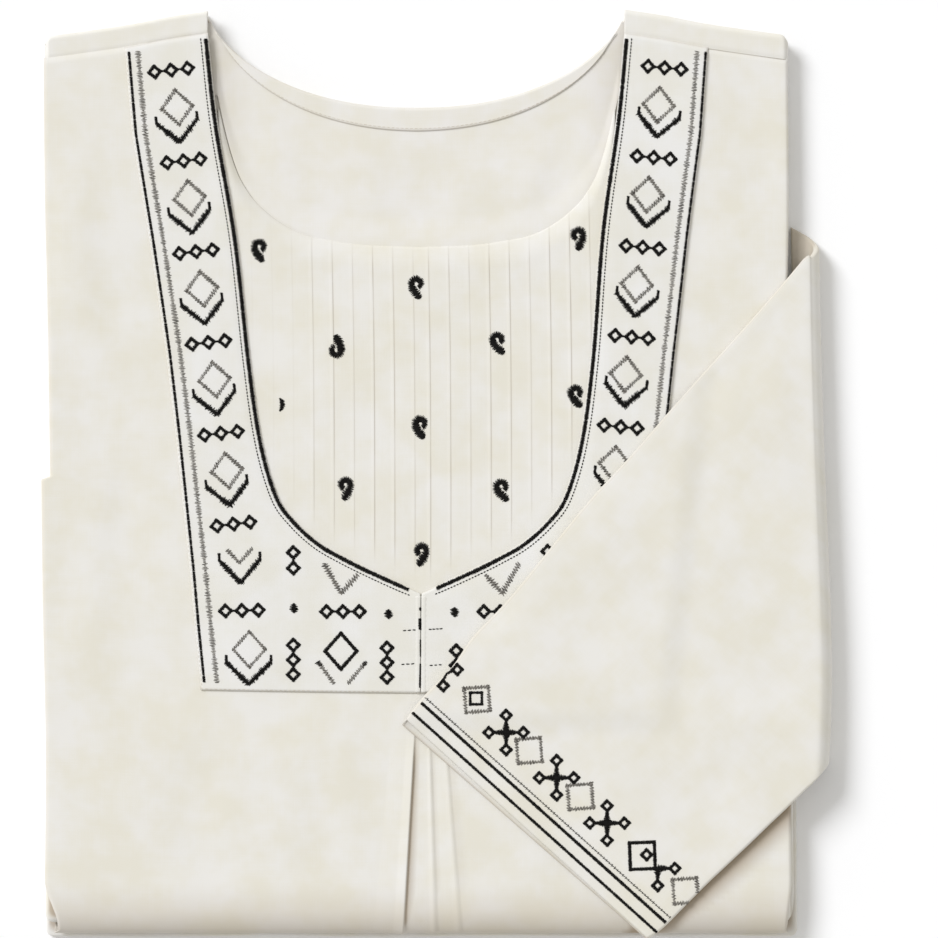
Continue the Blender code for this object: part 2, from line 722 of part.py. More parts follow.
def bib_edge_y(out, underlap):
    """Y of the yoke's inner edge, or of a line an underlap beyond it, by distance from the centre."""
    edge = []
    for step in range(61):
        edge.append(yoke_point(step / 60 * (len(YOKE_STATIONS) - 1), 0.0))
    edge = np.asarray(edge)
    along = np.gradient(edge, axis=0)
    outward = np.column_stack((-along[:, 1], along[:, 0]))
    outward /= np.linalg.norm(outward, axis=1, keepdims=True)
    moved = edge + underlap * outward
    order = np.argsort(moved[:, 0])
    return float(np.interp(out, moved[order, 0], moved[order, 1]))


def tuck_profile():
    """Distances across the bib and the relief at each, with one ridge for each pintuck."""
    half_tucks = [FIRST_TUCK + TUCK_PITCH * step for step in range(TUCK_COUNT_EACH_SIDE)]
    profile = [(-99.0, 0.0), (-93.0, 0.0)]
    for tuck in sorted([-place for place in half_tucks] + half_tucks):
        profile += [
            (tuck - TUCK_WIDTH / 2, 0.0),
            (tuck + 0.1, TUCK_HEIGHT),
            (tuck + TUCK_WIDTH / 2 - 0.5, TUCK_HEIGHT * 0.9),
            (tuck + TUCK_WIDTH / 2 - 0.2, 0.0),
        ]
    profile += [(93.0, 0.0), (99.0, 0.0)]
    return profile


def build_bib():
    """The pintucked bib, from the front neckline to under the yoke's inner edge."""
    columns = []
    plain = []
    for out, relief in tuck_profile():
        top_y = from_table(FRONT_NECKLINE, "out", "y", abs(out))
        foot_y = min(bib_edge_y(abs(out), BIB_UNDERLAP), top_y - 4.0)
        tuck_end_y = min(bib_edge_y(abs(out), 0.0) + TUCK_CLEARANCE, top_y - 2.0)
        full_y = tuck_end_y + min(3.0, 0.3 * (top_y - tuck_end_y))
        column = []
        plain_column = []
        for y in np.linspace(top_y, full_y, 4).tolist() + [tuck_end_y, foot_y]:
            raised = relief * (y >= full_y)
            x = centre_x(y) + out
            column.append(top_of(FRONT_LEVEL + raised, x, y))
            plain_column.append(top_of(FRONT_LEVEL, x, y))
        columns.append(column)
        plain.append(plain_column)
    grid = np.swapaxes(np.asarray(columns), 0, 1)
    under = np.swapaxes(np.asarray(plain), 0, 1)
    return make_flat_panel("bib", grid, CLOTH, IVORY_COTTON, under)


# ---------------------------------------------------------------- sleeve
def yoke_outer_half(y):
    """Distance of the yoke's outer edge from the centre line at a height."""
    rows = YOKE_STATIONS[YOKE_CORNER_STATION::-1]
    return float(np.interp(y, [row.outer_y for row in rows], [row.outer_out for row in rows]))


def sleeve_rest_level(x, y):
    """Level of the sleeve's underside: on the yoke, and lower where it lies on the plain front."""
    past_side = (x - centre_x(y)) - yoke_outer_half(y)
    past_foot = YOKE_BOTTOM_Y - y
    off_yoke = ease(7.0, 22.0, max(past_side, past_foot))
    return SLEEVE_ON_YOKE + (SLEEVE_ON_FRONT - SLEEVE_ON_YOKE) * off_yoke


def rounded_end(radius, inset, turns):
    """Places round an end of a flattened section: how far in from the edge, and how far off its middle."""
    places = []
    for turn in turns:
        angle = math.radians(turn)
        places.append((inset + radius - radius * math.cos(angle), radius * math.sin(angle)))
    return places


def sleeve_ring(station, half_thickness, inset, cuff_layer):
    """Points round the sleeve at one station: over its outer side, then back along its inner side."""
    upper = np.array([station.upper_x, station.upper_y])
    lower = np.array([station.lower_x, station.lower_y])
    width = np.linalg.norm(lower - upper)
    along = (lower - upper) / width
    out_of_cuff = np.array([along[1], -along[0]])
    tilt = math.radians(station.turn)
    lower_end = rounded_end(half_thickness, inset, (90, 45, 0, -45, -90))
    places = rounded_end(half_thickness, inset, (0, 45, 90))
    places += [(share * width, half_thickness) for share in SLEEVE_SHARES]
    places += [(width - distance, side) for distance, side in lower_end]
    places += [(share * width, -half_thickness) for share in SLEEVE_SHARES[::-1]]
    places += rounded_end(half_thickness, inset, (-90, -45))
    ring = []
    for distance, side in places:
        share = distance / width
        spot = upper + along * distance
        if side < 0:
            layer = CUFF_LAYER_AT_UPPER * (1 - share) + CUFF_LAYER_AT_LOWER * share
            spot = spot + out_of_cuff * layer * cuff_layer
        bulge = SLEEVE_FOLD_BULGE * math.sin(math.pi * share**2.5) * ease(160.0, 190.0, spot[0])
        flat_z = stack_top(spot[1]) + sleeve_rest_level(spot[0], spot[1]) + SLEEVE_HALF_THICKNESS
        half_height = (flat_z - SLEEVE_HALF_THICKNESS) / 2
        z = SLEEVE_HALF_THICKNESS + half_height * (1 + math.cos(tilt))
        x = spot[0] + bulge + (SLEEVE_FOLD_DEPTH - SLEEVE_HALF_THICKNESS) * math.sin(tilt)
        ring.append((x + side * math.sin(tilt), spot[1], z + side * math.cos(tilt)))
    return ring


def build_sleeve():
    """The flattened sleeve: open at its cuff, folded down at its right and in under the body."""
    shells = []
    for inset in (0.0, SLEEVE_WALL):
        rings = []
        for place, station in enumerate(SLEEVE_STATIONS):
            cuff_layer = 1.0 if place == 0 else 0.5 if place == 1 else 0.0
            rings.append(sleeve_ring(station, SLEEVE_HALF_THICKNESS - inset, inset, cuff_layer))
        shells.append(np.asarray(rings))
    rings, count = shells[0].shape[:2]
    points = list(shells[0].reshape(-1, 3)) + list(shells[1].reshape(-1, 3))
    inside = rings * count
    faces = []
    for ring in range(rings - 1):
        for place in range(count):
            here = ring * count + place
            after = ring * count + (place + 1) % count
            faces.append((here, here + count, after + count, after))
            faces.append((here + inside, after + inside, after + inside + count, here + inside + count))
    for ring in (0, rings - 1):
        for place in range(count):
            here = ring * count + place
            after = ring * count + (place + 1) % count
            faces.append((here, after, after + inside, here + inside))
    return make_mesh("sleeve", points, faces, IVORY_COTTON)


def main():
    """Clear the scene and build every piece of the folded tunic."""
    for old in list(bpy.data.objects):
        bpy.data.objects.remove(old, do_unlink=True)
    build_folded_core()
    build_back()
    build_back_neck_facing()
    build_back_shoulder("back_shoulder_left", -1)
    build_back_shoulder("back_shoulder_right", 1)
    build_front()
    build_bib()
    build_yoke_half("yoke_left", -1)
    build_yoke_half("yoke_right", 1)
    build_slit_binding("slit_binding_left", -1)
    build_slit_binding("slit_binding_right", 1)
    build_sleeve()


main()
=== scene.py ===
"""The looks of a folded cotton kurta tunic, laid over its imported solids.

The tunic lies face up with its neck towards +Y. Sizes are in millimetres, and become metres
where a mesh is made.
"""

import logging
import math
from dataclasses import dataclass
from enum import Enum
from functools import cache
from typing import ClassVar

import bpy
import numpy as np
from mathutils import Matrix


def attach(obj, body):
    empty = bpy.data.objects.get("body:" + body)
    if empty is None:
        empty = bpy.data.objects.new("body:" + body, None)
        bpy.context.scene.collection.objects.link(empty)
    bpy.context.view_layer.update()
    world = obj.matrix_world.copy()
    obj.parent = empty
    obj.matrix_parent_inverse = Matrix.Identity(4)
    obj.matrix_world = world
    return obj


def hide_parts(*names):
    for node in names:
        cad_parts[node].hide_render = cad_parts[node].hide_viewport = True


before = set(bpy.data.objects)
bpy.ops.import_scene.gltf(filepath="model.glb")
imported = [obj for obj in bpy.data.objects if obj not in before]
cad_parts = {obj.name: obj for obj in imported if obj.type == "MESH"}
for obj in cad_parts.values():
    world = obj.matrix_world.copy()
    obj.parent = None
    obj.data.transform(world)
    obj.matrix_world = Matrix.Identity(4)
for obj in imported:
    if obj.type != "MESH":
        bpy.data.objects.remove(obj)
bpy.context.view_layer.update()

LOG = logging.getLogger("kurta")
MM = 0.001
Array = np.ndarray
Object = bpy.types.Object
Node = bpy.types.Node
Socket = bpy.types.NodeSocket

# ---------------------------------------------------------------- driving dimensions
BODY_CENTRE_X = -10.5
BODY_HALF_WIDTH = 186.5
NECK_HALF_WIDTH = 104.5
NECK_POINT_Y = 231.75
BACK_NECK_DROP = 48.5
HEM_FOLD_Y = -229.75
LOWEST_LAYER_Y = -231.75

STACK_AT_NECK = 7.0
STACK_AT_HEM = 12.0
BACK_LEVEL = 1.5
FACING_LEVEL = 2.8
FRONT_LEVEL = 4.4
YOKE_LEVEL = 5.8
BINDING_LEVEL = 7.1
CLOTH = 0.8

SHOULDER_SEAM_DROP = 11.0
SHOULDER_CORNER_RADIUS = 4.0
SHOULDER_ROLL_RADIUS = 2.05
SHOULDER_FLAP = 3.0
HEM_ROLL_DEPTH = 11.0
HEM_ROLL_HEIGHT = 12.0
STEP_Y = -1.0
STEP_LENGTH = 2.0
STEP_OUT = 4.4
YOKE_CORNER_PLACE = 8
BACK_NECK_WIDENING = 2.2
BACK_NECK_ROUNDING = 0.65
EASED_FROM = 0.6
SIDES = ((-1, "left"), (1, "right"))


# ---------------------------------------------------------------- tables and curves
def ease(start: float, end: float, at: Array | float) -> Array:
    """Smooth step from 0 at start to 1 at end."""
    part = np.clip((np.asarray(at, float) - start) / (end - start), 0.0, 1.0)
    return part * part * (3 - 2 * part)


def smooth_through(keys: Array, values: Array, at: Array | float) -> Array:
    """Read a cubic curve through rows of keys and values.

    Args:
        keys: Rising keys of the rows.
        values: Value at each key.
        at: Keys to read the curve at, held inside the rows.

    Returns:
        The curve's value at each key of `at`.
    """
    at = np.clip(np.asarray(at, float), keys[0], keys[-1])
    slopes = np.gradient(values, keys)
    row = np.clip(np.searchsorted(keys, at, side="right") - 1, 0, len(keys) - 2)
    span = keys[row + 1] - keys[row]
    part = (at - keys[row]) / span
    rise = part * part * (3 - 2 * part)
    level = values[row] * (1 - rise) + values[row + 1] * rise
    bend = slopes[row] * part * (1 - part) ** 2 + slopes[row + 1] * part * part * (part - 1)
    return level + bend * span


class Table:
    """A short table of sizes with named columns."""

    def __init__(self, columns: str, *rows: tuple[float, ...]) -> None:
        """Keep the columns' names and the rows in the order given."""
        self.columns = columns.split()
        self.rows = np.asarray(rows, float)

    def column(self, name: str) -> Array:
        """Values of one column, row by row."""
        return self.rows[:, self.columns.index(name)]

    def read(self, name: str, at: Array | float) -> Array:
        """Value of a column on a smooth curve, by the value of the first column."""
        order = np.argsort(self.rows[:, 0])
        return smooth_through(self.rows[order, 0], self.column(name)[order], at)

    def along(self, name: str, place: Array | float, straight: bool = False) -> Array:
        """Value of a column by its place down the rows, which may lie between two of them.

        Args:
            name: The column.
            place: Row number, counted from 0.
            straight: Join the rows with straight lines in place of a curve.

        Returns:
            The column's value at each place.
        """
        stations = np.arange(len(self.rows), dtype=float)
        if straight:
            return np.interp(place, stations, self.column(name))
        return smooth_through(stations, self.column(name), place)


SIDE_EDGES = Table(
    "y left right",
    (214, -197.0, 175.5),
    (137, -196.2, 176.0),
    (87, -195.0, 175.5),
    (0, -193.6, 176.0),
    (-63, -192.8, 176.3),
    (-138, -191.2, 176.7),
    (-231, -192.0, 177.5),
)
SHOULDER_EDGE = Table(
    "out y",
    (104.5, 231.75),
    (126.0, 228.4),
    (141.0, 225.4),
    (163.0, 222.0),
    (186.5, 218.8),
)
FRONT_NECKLINE = Table(
    "out y",
    (0.0, 113.5),
    (38.0, 116.0),
    (62.0, 122.0),
    (75.0, 130.5),
    (84.0, 140.0),
    (91.0, 153.0),
    (97.0, 174.0),
    (100.5, 190.0),
)
CENTRE_DRIFT = Table("y drift", (231, 0.0), (170, 0.4), (56, 2.3), (-10, 2.6), (-110, 2.3))
YOKE_STATIONS = Table(
    "inner_out inner_y outer_out outer_y",
    (105.2, 220.2, 146.0, 213.0),
    (100.6, 176.0, 142.6, 170.0),
    (91.9, 119.5, 135.0, 118.0),
    (85.9, 56.5, 127.4, 60.0),
    (80.2, 16.0, 122.6, 17.0),
    (72.5, -11.0, 119.0, -18.0),
    (64.0, -23.5, 115.8, -48.0),
    (52.0, -34.5, 113.0, -78.0),
    (38.6, -42.3, 109.8, -108.0),
    (25.0, -49.0, 76.0, -108.6),
    (10.0, -55.8, 36.0, -109.2),
    (0.5, -59.5, 0.5, -109.5),
)
FRONT_TOP = Table(
    "out y",
    (0.0, -84.0),
    (40.0, -78.0),
    (70.0, -62.0),
    (92.0, -30.0),
    (104.0, 10.0),
    (112.0, 60.0),
    (120.0, 120.0),
    (127.0, 170.0),
    (133.0, 213.0),
)
# The shade column is painted shade along the pleat's folds.
PLEAT_PROFILE = Table(
    "top_x hem_x height shade",
    (-22.0, -32.0, 0.0, 0.0),
    (-14.5, -22.0, 0.45, 0.0),
    (-10.8, -17.2, 1.15, 0.0),
    (-10.5, -16.7, 1.0, 0.35),
    (-10.3, -16.3, -0.2, 1.0),
    (-9.4, -15.2, -0.25, 0.55),
    (-7.6, -11.0, -0.05, 0.05),
    (-5.4, -3.6, 0.2, 0.0),
    (-4.4, -1.6, 0.5, 0.0),
    (-3.9, -0.6, 0.4, 0.06),
    (-3.1, 0.9, -0.05, 0.16),
    (-1.5, 3.5, 0.0, 0.0),
    (1.4, 8.6, 0.22, 0.0),
    (2.7, 10.8, 0.4, 0.0),
    (3.3, 11.9, 0.3, 0.05),
    (4.2, 13.2, -0.05, 0.13),
    (8.0, 20.0, 0.0, 0.0),
)
SLEEVE_STATIONS = Table(
    "upper_x upper_y lower_x lower_y turn",
    (-14.5, -123.0, 105.0, -231.3, 0),
    (-6.5, -112.0, 112.5, -226.0, 0),
    (8.0, -97.0, 123.0, -215.5, 0),
    (18.4, -82.0, 134.5, -204.0, 0),
    (36.0, -63.4, 146.0, -193.2, 0),
    (55.8, -39.2, 156.8, -183.0, 0),
    (76.0, -14.5, 165.2, -174.9, 0),
    (98.0, 9.5, 172.0, -168.5, 0),
    (121.0, 36.0, 177.2, -163.5, 0),
    (144.0, 61.5, 181.4, -159.5, 0),
    (164.0, 84.0, 184.8, -156.2, 0),
    (183.0, 106.5, 188.0, -153.2, 0),
    (183.2, 108.0, 188.2, -149.3, 30),
    (183.3, 110.5, 188.2, -146.5, 60),
    (183.4, 113.0, 188.2, -144.7, 90),
    (183.3, 115.5, 188.2, -143.2, 120),
    (183.2, 118.0, 188.2, -141.4, 150),
    (183.0, 120.0, 188.0, -139.4, 180),
    (177.8, 123.0, 182.6, -134.0, 180),
)
CORE_RINGS = Table(
    "height side_out top_out hem_y ledge",
    (0.00, -2.4, -3.0, -229.9, 3.3),
    (0.05, -0.8, -1.6, -231.2, 3.3),
    (0.15, 0.0, -0.9, LOWEST_LAYER_Y, 3.3),
    (0.26, -0.6, -1.4, -231.2, 3.3),
    (0.31, -2.6, -3.2, -225.0, 2.4),
    (0.335, -1.5, -2.2, -211.5, 1.8),
    (0.42, -0.4, -0.8, -211.5, 1.8),
    (0.53, -0.4, -0.8, -213.0, 1.8),
    (0.60, -1.1, -1.6, -223.0, 1.8),
    (0.64, -2.8, -3.4, -224.5, 0.0),
    (0.70, -1.2, -1.8, -224.5, 0.0),
    (0.84, -0.7, -1.2, -224.0, 0.0),
    (0.95, -1.4, -2.0, -222.5, 0.0),
    (1.00, -3.0, -3.6, -220.0, 0.0),
)


# ---------------------------------------------------------------- the garment's outline
def stack_top(y: Array | float) -> Array:
    """Height of the hidden layers' top, which slopes evenly from the hem down to the neck."""
    share = (NECK_POINT_Y - np.asarray(y, float)) / (2 * NECK_POINT_Y)
    return STACK_AT_NECK + (STACK_AT_HEM - STACK_AT_NECK) * share


def centre_x(y: Array | float) -> Array:
    """X of the line about which the neck, bib and yoke are symmetrical."""
    return BODY_CENTRE_X + CENTRE_DRIFT.read("drift", y)


def shoulder_edge_y(out: Array | float) -> Array:
    """Y of the shoulder's top edge by distance from the centre line, rounded off at its corner."""
    corner_start = BODY_HALF_WIDTH - SHOULDER_CORNER_RADIUS
    into_corner = np.clip(np.asarray(out) - corner_start, 0.0, SHOULDER_CORNER_RADIUS)
    corner_drop = SHOULDER_CORNER_RADIUS - np.sqrt(SHOULDER_CORNER_RADIUS**2 - into_corner**2)
    return SHOULDER_EDGE.read("y", out) - corner_drop


def back_neck_y(out: Array | float) -> Array:
    """Y of the back neckline at a distance from the centre line."""
    share = np.clip(np.abs(out) / NECK_HALF_WIDTH, 0.0, 1.0)
    return NECK_POINT_Y - BACK_NECK_DROP * (1 - share**BACK_NECK_WIDENING) ** BACK_NECK_ROUNDING


def side_edges(y: Array | float) -> tuple[Array, Array]:
    """X of the body's left and right fold at a height, with the step in the left fold."""
    step = STEP_OUT * ease(STEP_Y, STEP_Y - STEP_LENGTH, y)
    return SIDE_EDGES.read("left", y) - step, SIDE_EDGES.read("right", y)


def body_x(out: Array, y: Array) -> Array:
    """X of a column of the body: its nominal distance, eased to meet the real side folds."""
    left, right = side_edges(y)
    weight = ease(EASED_FROM, 1.0, np.abs(out) / BODY_HALF_WIDTH)
    to_left = left - (BODY_CENTRE_X - BODY_HALF_WIDTH)
    to_right = right - (BODY_CENTRE_X + BODY_HALF_WIDTH)
    return BODY_CENTRE_X + out + weight * np.where(out < 0, to_left, to_right)


def yoke_point(place: Array, share: Array) -> tuple[Array, Array]:
    """Distance from the centre line and Y of a point of the yoke, by station and share across."""
    inner_out = YOKE_STATIONS.along("inner_out", place)
    inner_y = YOKE_STATIONS.along("inner_y", place)
    outer_out = YOKE_STATIONS.along("outer_out", place, straight=True)
    outer_y = YOKE_STATIONS.along("outer_y", place, straight=True)
    return inner_out + share * (outer_out - inner_out), inner_y + share * (outer_y - inner_y)


def moved_line(line: Array, distance: Array | float) -> Array:
    """A line of 2-D points moved sideways, to the left of its own direction.

    Args:
        line: Points of the line, one a row.
        distance: How far each point moves.

    Returns:
        The moved points.
    """
    along = np.gradient(line, axis=0)
    sideways = np.column_stack((-along[:, 1], along[:, 0]))
    sideways /= np.linalg.norm(sideways, axis=1, keepdims=True)
    return line + sideways * np.reshape(distance, (-1, 1))


def yoke_inner_line(margin: float = 0.0) -> Array:
    """Distances out and Ys down the yoke's inner edge, or along a line a margin outside it."""
    places = np.linspace(0, len(YOKE_STATIONS.rows) - 1, 221)
    line = np.column_stack(yoke_point(places, np.zeros_like(places)))
    return moved_line(line, margin)


def bib_edge_y(out: Array, underlap: float) -> Array:
    """Y of the yoke's inner edge, or of a line an underlap under it, by distance out."""
    line = yoke_inner_line(underlap)
    order = np.argsort(line[:, 0])
    return np.interp(out, line[order, 0], line[order, 1])


def beyond_sleeve(x: Array, y: Array) -> Array:
    """Distance out past the sleeve's lower right edge."""
    edge_x, edge_y = (SLEEVE_STATIONS.column(name)[[0, 11]] for name in ("lower_x", "lower_y"))
    run_x, run_y = np.diff(edge_x)[0], np.diff(edge_y)[0]
    return ((x - edge_x[0]) * run_y - (y - edge_y[0]) * run_x) / math.hypot(run_x, run_y)


def yoke_outer_half(y: Array) -> Array:
    """Distance of the yoke's outer edge from the centre line at a height."""
    rows = slice(YOKE_CORNER_PLACE, None, -1)
    return np.interp(y, YOKE_STATIONS.column("outer_y")[rows], YOKE_STATIONS.column("outer_out")[rows])


# ---------------------------------------------------------------- creases
@dataclass(frozen=True)
class Crease:
    """One soft ridge, or a trough where its height is below zero.

    Its upper side is steeper than its lower one by the lean.
    """

    start: tuple[float, float]
    end: tuple[float, float]
    bow: float
    width: float
    height: float
    lean: float = 1.6

    def lift(self, x: Array, y: Array) -> Array:
        """Height that the crease adds at each place."""
        run = np.subtract(self.end, self.start)
        length = float(np.hypot(*run))
        along = ((x - self.start[0]) * run[0] + (y - self.start[1]) * run[1]) / length**2
        across = ((x - self.start[0]) * run[1] - (y - self.start[1]) * run[0]) / length
        across = across - self.bow * (1 - (2 * along - 1) ** 2)
        width = np.where(across > 0, self.width * self.lean, self.width)
        fade = ease(-0.12, 0.35, along) * (1 - ease(0.6, 1.12, along))
        return self.height * np.exp(-((across / width) ** 2)) * fade


class SoftRelief:
    """The gentle unevenness of laid cloth, from a seeded lattice of heights."""

    LATTICE = 48

    def __init__(self, seed: int, cell: float, height: float) -> None:
        """Draw the lattice.

        Args:
            seed: Fixed seed.
            cell: Distance between two heights of the lattice.
            height: Greatest rise or fall.
        """
        self.cell = cell
        self.heights = np.random.default_rng(seed).uniform(-height, height, (self.LATTICE, self.LATTICE))

    def lift(self, x: Array, y: Array) -> Array:
        """Height at each place, read smoothly between the lattice's points."""
        across = np.asarray(x) / self.cell + self.LATTICE / 2
        up = np.asarray(y) / self.cell + self.LATTICE / 2
        column = np.clip(np.floor(across).astype(int), 0, self.LATTICE - 2)
        row = np.clip(np.floor(up).astype(int), 0, self.LATTICE - 2)
        right = ease(0.0, 1.0, across - column)
        above = ease(0.0, 1.0, up - row)
        low = self.heights[row, column] * (1 - right) + self.heights[row, column + 1] * right
        high = self.heights[row + 1, column] * (1 - right) + self.heights[row + 1, column + 1] * right
        return low * (1 - above) + high * above


class Drape:
    """The creases that a group of layers shares, so that they stay clear of each other."""

    def __init__(self, creases: tuple[Crease, ...], reliefs: tuple[SoftRelief, ...]) -> None:
        """Keep the listed creases and the unevenness between them."""
        self.shapes = creases + reliefs

    def lift(self, x: Array, y: Array) -> Array:
        """Height that the creases add at each place."""
        return sum(shape.lift(x, y) for shape in self.shapes)


BODY_DRAPE = Drape(
    (
        Crease((-178, 168), (-168, 40), 6, 9, 0.55),
        Crease((-186, 60), (-150, -70), -7, 12, -0.5),
        Crease((-160, 30), (-172, -120), 5, 8, 0.45),
        Crease((-150, -112), (-60, -150), 6, 10, 0.5),
        Crease((-176, -150), (-120, -196), -5, 9, 0.45),
        Crease((-110, -126), (-118, -205), 4, 9, -0.4),
        Crease((-70, -132), (-84, -200), -5, 11, 0.5),
        Crease((-46, -118), (-40, -196), 3, 8, 0.4),
        Crease((36, -150), (60, -205), 4, 9, 0.5),
        Crease((120, 196), (168, 140), 6, 10, 0.5),
        Crease((150, 205), (158, 118), -5, 11, -0.45),
        Crease((-60, 96), (-30, 20), 6, 14, 0.3),
        Crease((20, 90), (46, -10), -6, 16, -0.3),
        Crease((-104, -72), (-60, -98), 4, 10, 0.3),
    ),
    (SoftRelief(11, 31.0, 0.22), SoftRelief(12, 13.0, 0.07)),
)
NECK_DRAPE = Drape(
    (
        Crease((-84, 172), (-58, 128), 5, 7, 0.45),
        Crease((-44, 168), (-34, 118), -4, 9, 0.4),
        Crease((6, 164), (-4, 118), 3, 10, -0.3),
        Crease((58, 170), (44, 122), 4, 7, 0.4),
        Crease((80, 176), (66, 128), -4, 6, 0.45),
    ),
    (SoftRelief(21, 24.0, 0.16), SoftRelief(22, 10.0, 0.05)),
)
SLEEVE_DRAPE = Drape(
    (
        Crease((30, -66), (96, -118), 8, 13, 0.9),
        Crease((92, -6), (150, -60), -8, 14, 0.8),
        Crease((142, 50), (172, -10), 6, 11, 0.9),
        Crease((60, -60), (128, -92), -6, 16, -0.5),
        Crease((120, -100), (176, -132), 7, 12, 0.8),
        Crease((170, 60), (180, -30), 4, 9, 0.7),
        Crease((132, -20), (170, -90), -6, 15, 0.6),
        Crease((80, -118), (132, -168), 5, 12, 0.6),
    ),
    (SoftRelief(31, 27.0, 0.3), SoftRelief(32, 12.0, 0.08)),
)


# ---------------------------------------------------------------- node trees
class Value:
    """A number socket that plain arithmetic works on."""

    def __init__(self, bench: "NodeBench", socket: Socket) -> None:
        """Wrap one output socket of a bench's tree."""
        self.bench = bench
        self.socket = socket

    def _with(self, operation: str, first: object, second: object = 0.0) -> "Value":
        """Add one Math node."""
        node = self.bench.node("ShaderNodeMath", {0: first, 1: second}, operation=operation)
        return self.bench.value(node)

    def __add__(self, other: object) -> "Value":
        """Sum."""
        return self._with("ADD", self, other)

    def __radd__(self, other: object) -> "Value":
        """Sum with a plain number first."""
        return self._with("ADD", other, self)

    def __sub__(self, other: object) -> "Value":
        """Difference."""
        return self._with("SUBTRACT", self, other)

    def __rsub__(self, other: object) -> "Value":
        """Difference from a plain number."""
        return self._with("SUBTRACT", other, self)

    def __mul__(self, other: object) -> "Value":
        """Product."""
        return self._with("MULTIPLY", self, other)

    def __rmul__(self, other: object) -> "Value":
        """Product with a plain number first."""
        return self._with("MULTIPLY", other, self)

    def sine(self) -> "Value":
        """Sine of an angle in radians."""
        return self._with("SINE", self)

    def modulo(self, other: object) -> "Value":
        """Remainder of a division."""
        return self._with("MODULO", self, other)

    def limited(self) -> "Value":
        """The value held between 0 and 1."""
        return self._with("MINIMUM", self._with("MAXIMUM", self, 0.0), 1.0)


class NodeBench:
    """Adds nodes to one shader or geometry tree."""

    def __init__(self, tree: bpy.types.NodeTree) -> None:
        """Work on a tree."""
        self.tree = tree

    @staticmethod
    def _socket(sockets: object, key: str | int) -> Socket:
        """A socket by its number, or the live one that has a name."""
        if isinstance(key, int):
            return sockets[key]
        return next(socket for socket in sockets if socket.name == key and socket.enabled)

    def feed(self, node: Node, inputs: dict[str | int, object]) -> None:
        """Set or link a node's input sockets.

        Args:
            node: The node.
            inputs: By each socket's name or number, a plain value, a Value, an output socket, or a
                node whose first output is meant.
        """
        for key, given in inputs.items():
            socket = self._socket(node.inputs, key)
            if isinstance(given, Value):
                given = given.socket
            elif isinstance(given, Node):
                given = given.outputs[0]
            if isinstance(given, Socket):
                self.tree.links.new(given, socket)
            else:
                socket.default_value = given

    def node(self, kind: str, inputs: dict | None = None, **settings: str) -> Node:
        """Add one node.

        Args:
            kind: The node's type.
            inputs: What feeds its input sockets, as for feed.
            **settings: The node's own settings, which are set first.

        Returns:
            The new node.
        """
        node = self.tree.nodes.new(kind)
        for key, value in settings.items():
            setattr(node, key, value)
        self.feed(node, inputs or {})
        return node

    def out(self, node: Node, key: str | int = 0) -> Socket:
        """One output socket of a node."""
        return self._socket(node.outputs, key)

    def value(self, node: Node, key: str | int = 0) -> Value:
        """One number output of a node, ready for arithmetic."""
        return Value(self, self.out(node, key))

    def attribute(self, name: str, key: str = "Fac") -> Value:
        """One output of a mesh's own attribute."""
        return self.value(self.node("ShaderNodeAttribute", attribute_name=name), key)

    def noise(self, vector: object, scale: float, detail: float = 2.0) -> Value:
        """Soft noise between about 0.3 and 0.7 over a vector."""
        inputs = {"Vector": vector, "Scale": scale, "Detail": detail, "Roughness": 0.55}
        return self.value(self.node("ShaderNodeTexNoise", inputs))

    def mixed(self, factor: Value, first: object, second: object) -> Socket:
        """A colour between two others."""
        inputs = {"Factor": factor, "A": first, "B": second}
        return self.out(self.node("ShaderNodeMix", inputs, data_type="RGBA"), "Result")


# ---------------------------------------------------------------- finishes
Colour = tuple[float, float, float, float]


@dataclass(frozen=True)
class Finish:
    """A named finish, whose one material is made the first time it is asked for."""

    name: str

    @cache
    def material(self) -> bpy.types.Material:
        """The finish's material."""
        material = bpy.data.materials.new(self.name)
        material.use_nodes = True
        bench = NodeBench(material.node_tree)
        bench.feed(material.node_tree.nodes["Principled BSDF"], self.sockets(bench))
        return material

    def sockets(self, bench: NodeBench) -> dict[str, object]:
        """What feeds the shader's sockets, built on the material's bench."""
        raise NotImplementedError


